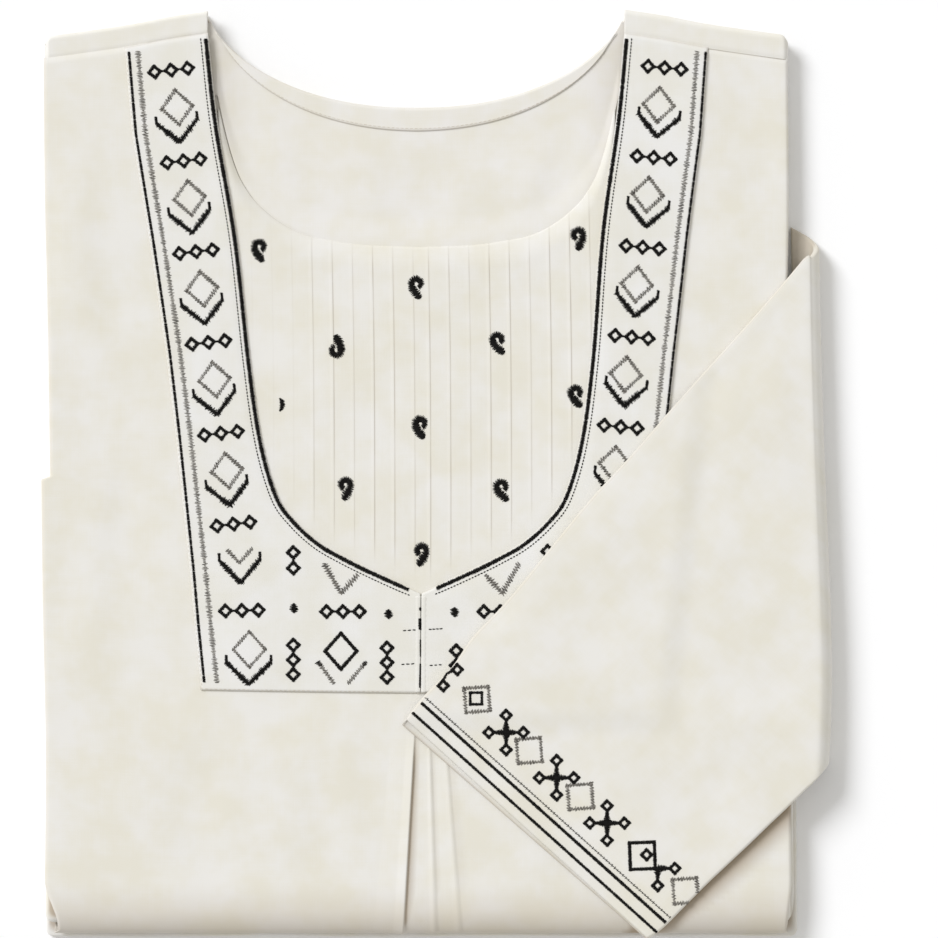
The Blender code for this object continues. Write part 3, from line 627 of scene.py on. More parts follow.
@dataclass(frozen=True)
class CottonFinish(Finish):
    """Plain-woven cotton: its tints, how uneven they are, its threads, and the colour of its painted shade.
    """

    warm: Colour
    cool: Colour
    # Colour of the painted shade, mixed in where the fold attribute is high.
    shade: Colour
    thread_pitch: float = 0.42
    patch_size: float = 36.0
    patch_contrast: float = 3.0
    blotch_contrast: float = 1.7
    slub_contrast: float = 0.55
    weave_depth: float = 0.05
    roughness: float = 0.9

    def sockets(self, bench: NodeBench) -> dict[str, object]:
        """Tints, painted shade and weave, laid out on the flat cloth."""
        cloth = bench.attribute("cloth", "Vector")
        # The fold attribute is painted shade: it mixes the shade colour into the base colour.
        fold = bench.attribute("fold")
        patches = bench.noise(cloth, 1.0 / self.patch_size, 3.0)
        blotches = bench.noise(cloth, 2.6 / self.patch_size)
        along_warp = bench.node("ShaderNodeMapping", {"Vector": cloth, "Scale": (2.3, 0.045, 1.0)})
        along_weft = bench.node("ShaderNodeMapping", {"Vector": cloth, "Scale": (0.04, 2.1, 1.0)})
        slub = (bench.noise(along_warp, 1.0) + bench.noise(along_weft, 1.0) - 1.0) * self.slub_contrast
        uneven = (patches - 0.5) * self.patch_contrast + (blotches - 0.5) * self.blotch_contrast
        plain = bench.mixed((uneven + slub + 0.5).limited(), self.warm, self.cool)

        parts = bench.node("ShaderNodeSeparateXYZ", {0: cloth})
        turn = math.tau / self.thread_pitch
        warp, weft = ((bench.value(parts, axis) * turn).sine() for axis in (0, 1))
        height = warp * weft * 0.5 + slub * 1.4
        bump = {"Strength": 0.35, "Distance": self.weave_depth * MM, "Height": height}
        return {
            "Base Color": bench.mixed(fold.limited(), plain, self.shade),
            "Normal": bench.node("ShaderNodeBump", bump),
            "Roughness": self.roughness,
            "Specular IOR Level": 0.2,
            "Sheen Weight": 0.12,
            "Sheen Roughness": 0.6,
        }


@dataclass(frozen=True)
class ThreadFinish(Finish):
    """Embroidery or sewing thread, a little different from stitch to stitch."""

    dark: Colour
    light: Colour
    roughness: float
    fibre_scale: float = 3800.0

    def sockets(self, bench: NodeBench) -> dict[str, object]:
        """Tint by each stitch's own shade, and fine fibres."""
        shade = bench.attribute("shade")
        place = bench.out(bench.node("ShaderNodeTexCoord"), "Object")
        fibre = bench.noise(place, self.fibre_scale)
        tint = (shade * 0.7 + (fibre - 0.5) * 1.2 + 0.15).limited()
        bump = {"Strength": 0.4, "Distance": 0.05 * MM, "Height": fibre}
        return {
            "Base Color": bench.mixed(tint, self.dark, self.light),
            "Normal": bench.node("ShaderNodeBump", bump),
            "Roughness": self.roughness,
            "Specular IOR Level": 0.12,
        }


@dataclass(frozen=True)
class PaperFinish(Finish):
    """Matt paper, for the floor."""

    colour: Colour

    def sockets(self, bench: NodeBench) -> dict[str, object]:
        """One even colour with no shine."""
        return {"Base Color": self.colour, "Roughness": 1.0, "Specular IOR Level": 0.0}


# The third colour of each cotton is its painted shade, mixed in by the fold attribute.
IVORY_COTTON = CottonFinish(
    "ivory_cotton", (0.760, 0.730, 0.635, 1), (0.796, 0.778, 0.735, 1), (0.36, 0.28, 0.19, 1)
)
INNER_COTTON = CottonFinish(
    "inner_cotton", (0.765, 0.735, 0.645, 1), (0.800, 0.780, 0.745, 1), (0.36, 0.27, 0.18, 1)
)
YOKE_COTTON = CottonFinish(
    "yoke_cotton", (0.762, 0.742, 0.672, 1), (0.800, 0.790, 0.765, 1), (0.42, 0.35, 0.27, 1)
)
BLACK_THREAD = ThreadFinish("black_thread", (0.002, 0.0018, 0.0015, 1), (0.010, 0.009, 0.008, 1), 0.6)
GREY_THREAD = ThreadFinish("grey_thread", (0.04, 0.036, 0.031, 1), (0.30, 0.28, 0.25, 1), 0.65)
IVORY_THREAD = ThreadFinish("ivory_thread", (0.55, 0.48, 0.38, 1), (0.74, 0.69, 0.60, 1), 0.75)
WHITE_PAPER = PaperFinish("white_paper", (0.97, 0.97, 0.97, 1.0))


# ---------------------------------------------------------------- cloth meshes
@dataclass(frozen=True)
class SheetCut:
    """The flat cut of a piece that shows, in metres."""

    width: float
    length: float
    area: float


def in_scene(data: bpy.types.ID) -> Object:
    """A new object for a mesh, light or camera, at the scene's origin."""
    thing = bpy.data.objects.new(data.name, data)
    bpy.context.scene.collection.objects.link(thing)
    return thing


def cloth_piece(
    name: str, points: Array, faces: list, cloth: Array, folds: Array, finish: Finish
) -> Object:
    """Make a cloth piece.

    Args:
        name: The piece's name.
        points: Its points, in millimetres.
        faces: Point numbers of each face.
        cloth: Each point's two coordinates on the flat cloth.
        folds: How far each point takes the painted shade, kept as the fold attribute.
        finish: The cloth's finish.

    Returns:
        The new piece, at the origin.
    """
    mesh = bpy.data.meshes.new(name)
    mesh.from_pydata((points * MM).tolist(), [], faces)
    flat = np.pad(cloth, ((0, 0), (0, 1)))
    mesh.attributes.new("cloth", "FLOAT_VECTOR", "POINT").data.foreach_set("vector", flat.ravel())
    # The fold attribute holds painted shade, from 0 up.
    mesh.attributes.new("fold", "FLOAT", "POINT").data.foreach_set("value", folds)
    mesh.shade_smooth()
    mesh.materials.append(finish.material())
    return in_scene(mesh)


def declare(
    piece: Object,
    node: str = "",
) -> None:
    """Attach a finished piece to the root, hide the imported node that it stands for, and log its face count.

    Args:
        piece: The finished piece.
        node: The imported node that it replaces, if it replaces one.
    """
    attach(piece, "root")
    if node:
        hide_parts(node)
    LOG.info("%s: %d faces", piece.name, len(piece.data.polygons))


class ClothSheet:
    """A thin closed cloth wall, or a tube of it, made from a grid of points on its outer face."""

    RIM_BULGE = 0.3

    def __init__(self, name: str, outer: Array, thickness: float = CLOTH, tube: bool = False) -> None:
        """Take the grid.

        Args:
            name: The piece's name.
            outer: Rows by columns of outer points, in millimetres.
            thickness: Thickness of the wall.
            tube: Join the last column to the first.
        """
        self.name = name
        self.outer = outer
        self.base = outer
        self.thickness = thickness
        self.tube = tube
        # Painted shade at each point, from 0 up; it becomes the fold attribute.
        self.fold = np.zeros(outer.shape[:2])
        self.cloth = outer[..., :2]

    def _normals(self) -> Array:
        """Unit normals of the plain grid under the relief."""
        grid = self.base
        if self.tube:
            wrapped = np.concatenate((grid[:, -1:], grid, grid[:, :1]), axis=1)
            across = np.gradient(wrapped, axis=1)[:, 1:-1]
        else:
            across = np.gradient(grid, axis=1)
        normals = np.cross(np.gradient(grid, axis=0), across)
        if self.tube and np.sum(normals * (grid - grid.mean(axis=1, keepdims=True))) < 0:
            normals = -normals
        return unit(normals)

    def _loops(self, numbers: Array) -> list[Array]:
        """Point numbers along each open border, in order."""
        if self.tube:
            return [numbers[0], numbers[-1]]
        top = numbers[0, :-1]
        right = numbers[:-1, -1]
        bottom = numbers[-1, :0:-1]
        left = numbers[:0:-1, 0]
        return [np.concatenate((top, right, bottom, left))]

    def _outward(self) -> Array:
        """Direction away from the cloth at each point of its borders."""
        away = np.zeros_like(self.outer)
        away[0] += self.outer[0] - self.outer[1]
        away[-1] += self.outer[-1] - self.outer[-2]
        if not self.tube:
            away[:, 0] += self.outer[:, 0] - self.outer[:, 1]
            away[:, -1] += self.outer[:, -1] - self.outer[:, -2]
        return unit(away)

    def _faces(self, numbers: Array, loops: list[Array]) -> Array:
        """Faces of the outer side, the inner side and the rounded rim between them.

        Args:
            numbers: Numbers of the outer points. The inner ones follow them, and then the rim's.
            loops: Numbers of the outer points along each border.

        Returns:
            Four point numbers a row.
        """
        right = np.roll(numbers, -1, axis=1) if self.tube else numbers[:, 1:]
        left = numbers if self.tube else numbers[:, :-1]
        quads = np.stack((left[:-1], left[1:], right[1:], right[:-1]), axis=-1).reshape(-1, 4)
        count = numbers.size
        faces = [quads, quads[:, ::-1] + count]
        start = 2 * count
        for side, loop in enumerate(loops):
            here = start + np.arange(len(loop))
            after = np.roll(here, -1)
            beside = np.roll(loop, -1)
            upper = np.stack((loop, beside, after, here), axis=-1)
            lower = np.stack((here, after, beside + count, loop + count), axis=-1)
            both = np.concatenate((upper, lower))
            faces.append(both[:, ::-1] if side else both)
            start += len(loop)
        return np.concatenate(faces)

    def make(
        self,
        finish: Finish,
        node: str,
    ) -> Object:
        """Args:
            finish: The cloth's finish.
            node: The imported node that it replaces.

        Returns:
            The finished piece.
        """
        inner = self.base - self._normals() * self.thickness
        middle = (self.outer + inner) / 2 + self._outward() * self.thickness * self.RIM_BULGE
        numbers = np.arange(self.fold.size).reshape(self.outer.shape[:2])
        loops = self._loops(numbers)
        rim = np.concatenate(loops)
        source = np.concatenate((numbers.ravel(), numbers.ravel(), rim))
        points = np.concatenate((self.outer.reshape(-1, 3), inner.reshape(-1, 3), middle.reshape(-1, 3)[rim]))
        faces = self._faces(numbers, loops)
        cloth = self.cloth.reshape(-1, 2)[source]
        piece = cloth_piece(self.name, points, faces.tolist(), cloth, self.fold.ravel()[source], finish)
        first, second, third, fourth = points[faces].transpose(1, 0, 2)
        volume = np.sum(first * np.cross(second - first, third - first))
        volume += np.sum(first * np.cross(third - first, fourth - first))
        if volume < 0:
            piece.data.flip_normals()
        declare(piece, node)
        return piece


def unit(vectors: Array) -> Array:
    """Vectors brought to a length of one, or left at nothing."""
    return vectors / np.maximum(np.linalg.norm(vectors, axis=-1, keepdims=True), 1e-9)


def raised(x: Array, y: Array, level: Array | float) -> Array:
    """Points at a level above the hidden layers."""
    return np.stack((x, y, stack_top(y) + level), axis=-1)


def arc_lengths(grid: Array) -> Array:
    """Distance travelled down the grid's columns from their first points."""
    steps = np.linalg.norm(np.diff(grid, axis=0), axis=2)
    return np.pad(np.cumsum(steps, axis=0), ((1, 0), (0, 0)))


def spread(stops: tuple[float, ...], counts: tuple[int, ...]) -> Array:
    """Numbers from stop to stop, with the stretch after each cut into its count of steps."""
    stretches = zip(stops, stops[1:], counts)
    parts = [np.linspace(start, end, count, endpoint=False) for start, end, count in stretches]
    return np.concatenate(parts + [[stops[-1]]])


# ---------------------------------------------------------------- the cloth pieces
@dataclass
class FoldedLayers:
    """The hidden layers: sides folded back, the skirt folded up behind, and the far sleeve."""

    cut: SheetCut = SheetCut(0.376, 0.446, 0.160)
    corner: float = 3.0
    ledge_start_y: float = -140.0
    rings: int = 53
    wave: float = 0.28
    groove_shade: float = 0.7

    def _outline(self, place: float) -> Array:
        """Points round one level of the stack, anticlockwise from the left shoulder."""
        side_out, top_out, hem_y, ledge_out = (
            float(CORE_RINGS.along(name, place)) for name in ("side_out", "top_out", "hem_y", "ledge")
        )
        side_top = float(shoulder_edge_y(BODY_HALF_WIDTH)) - 1.0
        heights = spread((side_top, 2.0, -5.0, hem_y + self.corner), (60, 8, 62))
        sway = self.wave * np.sin(heights / 23.0 + 2.1 * place) * np.sin(heights / 61.0 + place)
        left = side_edges(heights)[0] - side_out - sway
        ledge = ledge_out * ease(self.ledge_start_y, self.ledge_start_y - 15.0, heights)
        right = side_edges(heights)[1] + side_out + ledge + sway
        share = np.linspace(0.0, 1.0, 90)
        foot_x = left[-1] + self.corner + share * (right[-1] - left[-1] - 2 * self.corner)
        off_corners = ease(0.0, 0.1, share) * ease(1.0, 0.9, share)
        foot_y = hem_y + self.wave * np.sin(share * 19.0 + place) * off_corners
        bend = np.array([0.12, 0.3, 0.6]) * self.corner
        outs = np.linspace(BODY_HALF_WIDTH - 1.5, 120.0, 22)
        shoulder_y = shoulder_edge_y(outs) + top_out
        shoulder_out = side_out * ease(150.0, 186.0, outs)
        sweep = np.linspace(math.pi / 2, -math.pi / 2, 61)
        neck_out = (NECK_HALF_WIDTH + 3.0) * np.sin(sweep)
        neck = np.column_stack((centre_x(200.0) + neck_out, back_neck_y(neck_out) + top_out))
        parts = [
            np.column_stack((left, heights)),
            np.column_stack((left[-1] + bend, hem_y + bend[::-1])),
            np.column_stack((foot_x, foot_y)),
            np.column_stack((right[-1] - bend[::-1], hem_y + bend)),
            np.column_stack((right[::-1], heights[::-1])),
            np.column_stack((BODY_CENTRE_X + outs + shoulder_out, shoulder_y)),
            neck,
            np.column_stack((BODY_CENTRE_X - outs - shoulder_out, shoulder_y))[::-1],
        ]
        return np.concatenate(parts)

    def build(self) -> Object:
        """Loft the levels into one closed, layered form.

        Returns:
            The finished piece.
        """
        places = np.linspace(0, len(CORE_RINGS.rows) - 1, self.rings)
        loops = []
        for place in places:
            outline = self._outline(place)
            height = CORE_RINGS.along("height", place, straight=True) * stack_top(outline[:, 1])
            loops.append(np.column_stack((outline, height)))
        grid = np.asarray(loops)
        rings, count = grid.shape[:2]
        points = grid.reshape(-1, 3)
        numbers = np.arange(rings * count).reshape(rings, count)
        after = np.roll(numbers, -1, axis=1)
        quads = np.stack((numbers[:-1], after[:-1], after[1:], numbers[1:]), axis=-1).reshape(-1, 4)
        faces = quads.tolist() + [numbers[0, ::-1].tolist(), numbers[-1].tolist()]
        # Painted shade in the grooves between the folded layers.
        groove = ease(-0.9, -2.8, CORE_RINGS.along("side_out", places))
        groove[0] = 0.0
        folds = np.repeat(groove * self.groove_shade, count)
        cloth = points[:, :2] + points[:, 2:]
        piece = cloth_piece("folded_layers", points, faces, cloth, folds, INNER_COTTON)
        piece.data.set_sharp_from_angle(angle=math.radians(60))
        declare(piece, "folded_core")
        return piece


@dataclass
class BackPanel:
    """The back: its inside through the neck, the neck facing and the two rolled shoulders."""

    inside: SheetCut = SheetCut(0.355, 0.440, 0.142)
    facing: SheetCut = SheetCut(0.011, 0.200, 0.0019)
    shoulder: SheetCut = SheetCut(0.082, 0.030, 0.0014)
    facing_width: float = 11.0
    facing_turn: float = 0.25
    facing_settled: float = 0.45
    lowest_y: float = -214.0
    hidden_from_y: float = 84.0
    groove: float = 0.35
    rise: float = 0.93
    rise_reach: float = 16.0
    corner_drop: float = 1.8
    seam_lap: float = 0.6
    end_closed: float = 0.85
    outer_end: float = 185.6
    end_rounding: float = 2.2
    strap_inner_edge: float = 106.0
    under_stack: float = 0.3
    seam_sink: float = 0.35
    seam_shade: float = 0.3
    side_of_neck: float = -50.0

    def build_inside(self) -> Object:
        """The back's inner face, fine where it shows through the neck."""
        shoulder_side = spread((177.0, self.strap_inner_edge), (14,))[:-1]
        across = NECK_HALF_WIDTH * np.sin(np.linspace(-math.pi / 2, math.pi / 2, 121))
        outs = np.concatenate((-shoulder_side, across, shoulder_side[::-1]))
        in_neck = np.abs(outs) <= NECK_HALF_WIDTH - 1
        behind = shoulder_edge_y(np.abs(outs)) - SHOULDER_ROLL_RADIUS - SHOULDER_FLAP - 0.8
        top_y = np.where(in_neck, back_neck_y(outs), behind)
        from_centre = np.abs(outs + BODY_CENTRE_X - centre_x(130.0))
        neckline = np.minimum(FRONT_NECKLINE.read("y", from_centre), top_y - 3.0)
        shares = spread((0.0, 1.0, 2.0, 3.0, 4.0), (46, 5, 8, 14))[:, None]
        foot = np.full_like(top_y, self.lowest_y)
        knots = (top_y, neckline + self.groove, neckline - self.groove, neckline - 8.0, foot)
        y = sum(knot * np.clip(1 - np.abs(shares - number), 0.0, 1.0) for number, knot in enumerate(knots))
        x = BODY_CENTRE_X + outs + 0 * y
        in_view = ease(60.0, self.hidden_from_y, y)
        above = y - neckline
        share = ease(-2 * self.groove, 0.0, above) * (1 - ease(0.0, self.rise_reach, above))
        share = share * ease(12.0, 20.0, top_y - y) * in_neck
        drape = NECK_DRAPE.lift(x, y) * ease(0.0, 4.0, top_y - y) * in_view
        level = BACK_LEVEL + drape + share * (self.rise + BODY_DRAPE.lift(x, y))
        sheet = ClothSheet("back_inside", raised(x, y, level))
        # Painted shade beside the straps, and a faint painted shade line along the neckline on the left.
        beside_strap = 0.16 * ease(78.0, 104.0, np.abs(outs)) * ease(100.0, 140.0, y)
        at_neckline = (np.abs(above) < 2 * self.groove) * in_neck * (outs < self.side_of_neck)
        sheet.fold = beside_strap + 0.06 * at_neckline
        return sheet.make(INNER_COTTON, "back")

    def facing_line(self, share: float, count: int = 181) -> Array:
        """A line along the facing, from its outer edge at share 0 to its seam at share 1."""
        outs = (NECK_HALF_WIDTH - 4.5) * np.sin(np.linspace(-math.pi / 2, math.pi / 2, count))
        x = BODY_CENTRE_X + outs * (1 - 0.06 * share)
        narrowed = self.facing_width * (1 - 0.15 * np.abs(outs) / NECK_HALF_WIDTH)
        return np.column_stack((x, back_neck_y(outs) - 0.4 - share * narrowed))

    def build_facing(self) -> Object:
        """The strip inside the back neckline, with its seam edge turned under."""
        shares = spread((0.0, 0.1, 0.88, 1.0), (4, 8, 6))
        lines = np.asarray([self.facing_line(share) for share in shares])
        x, y = lines[..., 0], lines[..., 1]
        turned = self.facing_turn * ((1 - ease(0.0, 0.09, shares)) + ease(0.9, 1.0, shares))[:, None]
        level = FACING_LEVEL - self.facing_settled - turned + NECK_DRAPE.lift(x, y)
        sheet = ClothSheet("back_neck_facing_strip", raised(x, y, level), 0.5)
        # Painted shade along the facing's seam edge.
        sheet.fold = np.broadcast_to(0.32 * ease(0.93, 1.0, shares)[:, None], x.shape)
        return sheet.make(INNER_COTTON, "back_neck_facing")

    def build_shoulder(self, name: str, side: int) -> Object:
        """One shoulder, rolled forward from under the stack's top to the shoulder seam.

        Args:
            name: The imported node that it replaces.
            side: -1 for the side at -X, 1 for the side at +X.

        Returns:
            The finished piece.
        """
        stops = (NECK_HALF_WIDTH, self.strap_inner_edge, 178.0, 183.0, self.outer_end)
        outs = spread(stops, (3, 44, 8, 10))
        edge_y = shoulder_edge_y(outs) - self.corner_drop * ease(181.5, 186.0, outs) ** 2
        seam_y = SHOULDER_EDGE.read("y", outs) - SHOULDER_SEAM_DROP - self.seam_lap
        radius = SHOULDER_ROLL_RADIUS
        flat = spread((0.0, 0.12, 0.95), (4, 12))[:, None]
        flat_y = seam_y + flat * (edge_y - radius - seam_y)
        turns = np.radians(np.linspace(0.0, 180.0, 19))[:, None]
        roll_y = edge_y - radius + radius * np.sin(turns)
        roll_z = stack_top(edge_y) + self.under_stack + radius + radius * np.cos(turns)
        flap_y = edge_y[None] - radius - SHOULDER_FLAP
        y = np.concatenate((flat_y, roll_y, flap_y))
        z = np.concatenate((stack_top(flat_y) + FRONT_LEVEL, roll_z, stack_top(flap_y) + self.under_stack))
        z[: len(flat)] -= self.seam_sink * (1 - ease(0.0, 0.25, flat))
        into_end = np.clip(1 + (outs - self.outer_end) / self.end_rounding, 0.0, 1.0)
        z = z[-1] + (z - z[-1]) * (1 - self.end_closed * (1 - np.sqrt(1 - into_end**2)))
        x = BODY_CENTRE_X + side * outs + 0 * y
        grid = np.stack((x, y, z), axis=-1)
        sheet = ClothSheet(name + "_cloth", grid)
        sheet.cloth = np.stack((x, y[:1] + arc_lengths(grid)), axis=-1)
        # Painted shade along the shoulder seam.
        sheet.fold = np.zeros_like(x)
        sheet.fold[0] = self.seam_shade
        return sheet.make(IVORY_COTTON, name)


@dataclass
class FrontPanel:
    """The front: curled side folds, centre pleat and the roll at the bottom fold."""

    cut: SheetCut = SheetCut(0.385, 0.475, 0.145)
    top_of_rows: float = 206.0
    curl_radius: float = 1.9
    curl_lost_on_roll: float = 0.85
    flat_half: float = 184.6
    pleat_left: float = -70.0
    pleat_right: float = 70.0
    pleat_top_y: float = -120.0
    pleat_full_y: float = -150.0
    tuck_under: float = 5.0
    pinch_left: float = 6.5
    pinch_right: float = 2.0
    roll_start_y: float = HEM_FOLD_Y + HEM_ROLL_DEPTH
    # Painted shade: the sleeve's shadow on the front, the darker hem roll and the left rim.
    sleeve_shade: float = 0.95
    shade_reach: float = 15.0
    roll_shade: float = 0.42
    rim_shade: float = 0.16

    def _columns(self) -> tuple[Array, Array]:
        """Nominal distances from the centre line, and the curl of the side fold at each."""
        curls = np.linspace(180.0, 12.0, 14)
        edge = np.full_like(curls, self.flat_half)
        side = spread((self.flat_half, 176.0, 132.0, 72.0), (8, 18, 20))[:-1]
        middle = spread((self.pleat_left, -30.0, 34.0, self.pleat_right), (14, 120, 14))
        outs = np.concatenate((-edge, -side, middle[:-1], side[::-1], edge))
        turns = np.concatenate((curls, np.zeros(len(outs) - 2 * len(curls)), curls[::-1]))
        return outs, turns

    def _pleats(self, outs: Array, y: Array) -> tuple[Array, Array, Array]:
        """X, added height and painted shade of the columns near the centre pleat."""
        open_share = np.clip((self.pleat_top_y - y) / (self.pleat_top_y - HEM_FOLD_Y), 0.0, None)
        top, knots = (
            np.hstack((self.pleat_left, PLEAT_PROFILE.column(name) - BODY_CENTRE_X, self.pleat_right))
            for name in ("top_x", "hem_x")
        )
        x = BODY_CENTRE_X + np.interp(outs, knots, top) + open_share * np.interp(outs, knots, knots - top)
        strength = ease(self.pleat_top_y, self.pleat_full_y, y)
        height, shade = (np.pad(PLEAT_PROFILE.column(name), 1) for name in ("height", "shade"))
        return x, np.interp(outs, knots, height) * strength, np.interp(outs, knots, shade) * strength

    def _top_y(self, outs: Array) -> Array:
        """Y of the upper edge: under the yoke, then the shoulder seam."""
        outs = np.abs(outs)
        last = FRONT_TOP.column("out")[-1]
        at_seam = SHOULDER_EDGE.read("y", outs) - SHOULDER_SEAM_DROP
        return np.where(outs >= last, at_seam, FRONT_TOP.read("y", outs))

    def _rows(self, top_y: Array) -> tuple[Array, Array, Array]:
        """Y, Z and turn of each row, flat from the upper edge down and then round the roll.

        Args:
            top_y: Y of each column's upper end.

        Returns:
            Y and Z of every point, and each row's turn in degrees, which is 0 while it lies flat.
        """
        stops = (self.top_of_rows, STEP_Y + 4.0, STEP_Y - 5.0, self.roll_start_y)
        heights = spread(stops, (64, 12, 78))
        shares = ((self.top_of_rows - heights) / (self.top_of_rows - self.roll_start_y))[:, None]
        flat_y = top_y + shares * (self.roll_start_y - top_y)
        roll_turns = np.linspace(10.0, 180.0, 18)
        turns = np.radians(roll_turns)[:, None]
        half = HEM_ROLL_HEIGHT / 2
        centre_z = stack_top(self.roll_start_y) + FRONT_LEVEL - half
        roll_y = self.roll_start_y - HEM_ROLL_DEPTH * np.sin(turns) + 0 * flat_y[:1]
        roll_z = centre_z + half * np.cos(turns) + 0 * flat_y[:1]
        tuck_y = np.full_like(flat_y[:1], self.roll_start_y + self.tuck_under)
        y = np.concatenate((flat_y, roll_y, tuck_y))
        z = np.concatenate((stack_top(flat_y) + FRONT_LEVEL, roll_z, np.full_like(tuck_y, centre_z - half)))
        return y, z, np.concatenate((np.zeros(len(shares)), roll_turns, [180.0]))[:, None]

    def _shades(self, x: Array, y: Array, outs: Array, curls: Array, creased: Array) -> Array:
        """The strongest painted shade at each point: on the pleat's folds, down the hem roll, on the left rim
        and as the sleeve's shadow.

        Args:
            x: X of the points.
            y: Y of the points.
            outs: Nominal distance of each column from the centre line.
            curls: Degrees that each column is curled round the side fold.
            creased: Painted shade on the centre pleat's folds.

        Returns:
            One number for each point, from 0 up.
        """
        rolling = self.roll_shade * ease(-202.0, -230.0, y)
        rim = self.rim_shade * (outs < 0) * ease(4.0, 30.0, curls)
        # Painted shadow of the sleeve, along its lower right edge.
        from_sleeve = beyond_sleeve(x, y)
        beside_sleeve = ease(self.shade_reach, 0.0, from_sleeve) * ease(-14.0, -6.0, from_sleeve)
        shaded = self.sleeve_shade * beside_sleeve * (outs > 60.0)
        return np.maximum.reduce([creased, rolling, rim + 0 * y, shaded])

    def build(self) -> Object:
        """Make the panel.

        Returns:
            The finished piece.
        """
        outs, curls = self._columns()
        top_y = self._top_y(outs)
        y, z, turn = self._rows(top_y)
        side = np.where(outs < 0, -1.0, 1.0)
        curl = np.radians(curls * (1 - self.curl_lost_on_roll * ease(5.0, 60.0, turn)))
        pleat_x, raised_by, shade = self._pleats(outs, y)
        near_pleat = (outs >= self.pleat_left) & (outs <= self.pleat_right)
        raised_by = np.where(near_pleat, raised_by, 0.0) * (1 - ease(60.0, 110.0, turn))
        x = np.where(near_pleat, pleat_x, body_x(outs, y) + side * self.curl_radius * np.sin(curl))
        pinch = np.where(outs < 0, self.pinch_left, self.pinch_right) * ease(150.0, 184.0, np.abs(outs))
        drawn_in = np.where(turn > 60.0, 1.0, ease(-203.0, -226.0, y)) - 0.4 * ease(50.0, 90.0, turn)
        x = x - side * pinch * drawn_in
        curled = self.curl_radius * (1 - np.cos(curl))
        flat_share = (1 - ease(0.0, 50.0, turn)) * ease(187.0, 176.0, np.abs(x - BODY_CENTRE_X))
        drape = BODY_DRAPE.lift(x, y) * flat_share
        tilt = np.radians(turn)

        def lifted(lift: Array) -> Array:
            """Points moved off the panel's plain form by a lift along its normal."""
            return np.stack((x, y - lift * np.sin(tilt), z + lift * np.cos(tilt)), axis=-1)

        sheet = ClothSheet("front_panel", lifted(raised_by + drape - curled))
        sheet.base = lifted(drape - curled)
        down = arc_lengths(sheet.base)
        sheet.cloth = np.stack((x - side * curled, top_y - down), axis=-1)
        # Painted shade on the centre pleat's folds.
        creased = np.where(near_pleat, shade, 0.0) * (1 - ease(20.0, 70.0, turn))
        sheet.fold = self._shades(x, y, outs, curls, creased)
        return sheet.make(IVORY_COTTON, "front")


@dataclass
class Bib:
    """The pintucked bib, from the front neckline to under the yoke's inner edge."""

    cut: SheetCut = SheetCut(0.255, 0.250, 0.033)
    tucks_each_side: int = 9
    first_tuck: float = 3.9
    tuck_pitch: float = 10.1
    tuck_width: float = 1.7
    tuck_height: float = 0.17
    half_width: float = 99.0
    underlap: float = 4.0
    neck_drop: float = 1.9
    neck_ease: float = 12.0

    def tuck_outs(self) -> Array:
        """Distances of the tucks from the centre line."""
        half = self.first_tuck + self.tuck_pitch * np.arange(self.tucks_each_side)
        return np.concatenate((-half[::-1], half))

    def _profile(self) -> tuple[Array, Array, Array]:
        """Places across the bib, with each one's tuck relief and painted shade, pressed harder or softer."""
        half = self.tuck_width / 2
        section = Table(
            "along height shade",
            (-half - 0.5, 0.0, 0.0),
            (-half, 0.08, 0.0),
            (-half / 2, 0.55, 0.0),
            (0.0, 0.9, 0.0),
            (half * 0.6, 1.0, 0.0),
            (half * 0.85, 0.85, 0.25),
            (half, -0.1, 1.0),
            (half + 0.25, -0.05, 0.55),
            (half + 0.7, 0.0, 0.0),
        )
        places = [np.linspace(-self.half_width, self.half_width, 84)]
        for tuck in self.tuck_outs():
            places.append(tuck + section.column("along"))
        places = np.unique(np.concatenate(places))
        nearest = np.argmin(np.abs(places[:, None] - self.tuck_outs()), axis=1)
        offset = places - self.tuck_outs()[nearest]
        pressed = 0.75 + 0.25 * np.sin(nearest * 2.1 + 0.6)
        pressed = pressed * np.interp(nearest, (0, 1, 2, 3, 4), (0.10, 0.15, 0.35, 0.7, 1.0))
        along, height, shade = section.rows.T
        height = np.interp(offset, along, height) * self.tuck_height * pressed
        return places, height, np.interp(offset, along, shade) * pressed

    def build(self) -> Object:
        """Make the bib.

        Returns:
            The finished piece.
        """
        outs, height, shade = self._profile()
        top_y = FRONT_NECKLINE.read("y", np.abs(outs))
        foot_y = np.minimum(bib_edge_y(np.abs(outs), self.underlap), top_y - 4.0)
        tuck_end = np.minimum(bib_edge_y(np.abs(outs), 0.0) + 1.5, top_y - 2.0)
        shares = spread((0.0, 0.1, 1.0), (14, 62))[:, None]
        y = top_y + shares * (foot_y - top_y)
        x = centre_x(y) + outs
        full = ease(0.0, 22.0, y - tuck_end) * (0.35 + 0.65 * ease(0.0, 14.0, top_y - y))
        near_neck = 1 - np.clip((top_y - y) / self.neck_ease, 0.0, 1.0)
        drop = self.neck_drop * near_neck**2
        wander = 0.5 + 0.5 * SoftRelief(41, 17.0, 1.0).lift(x, y)
        tucks = height * full * (0.55 + 0.45 * wander)
        drape = BODY_DRAPE.lift(x, y) + NECK_DRAPE.lift(x, y) * near_neck
        sheet = ClothSheet("pintucked_bib", raised(x, y, FRONT_LEVEL + tucks + drape - drop))
        sheet.base = raised(x, y, FRONT_LEVEL + drape - drop)
        # Painted shade along the tucks, and a faint painted shade at the neckline on the left.
        sheet.fold = shade * full * (0.20 + 0.32 * wander)
        sheet.fold += 0.05 * ease(0.012, 0.0, shares) * (outs < -50.0)
        return sheet.make(IVORY_COTTON, "bib")


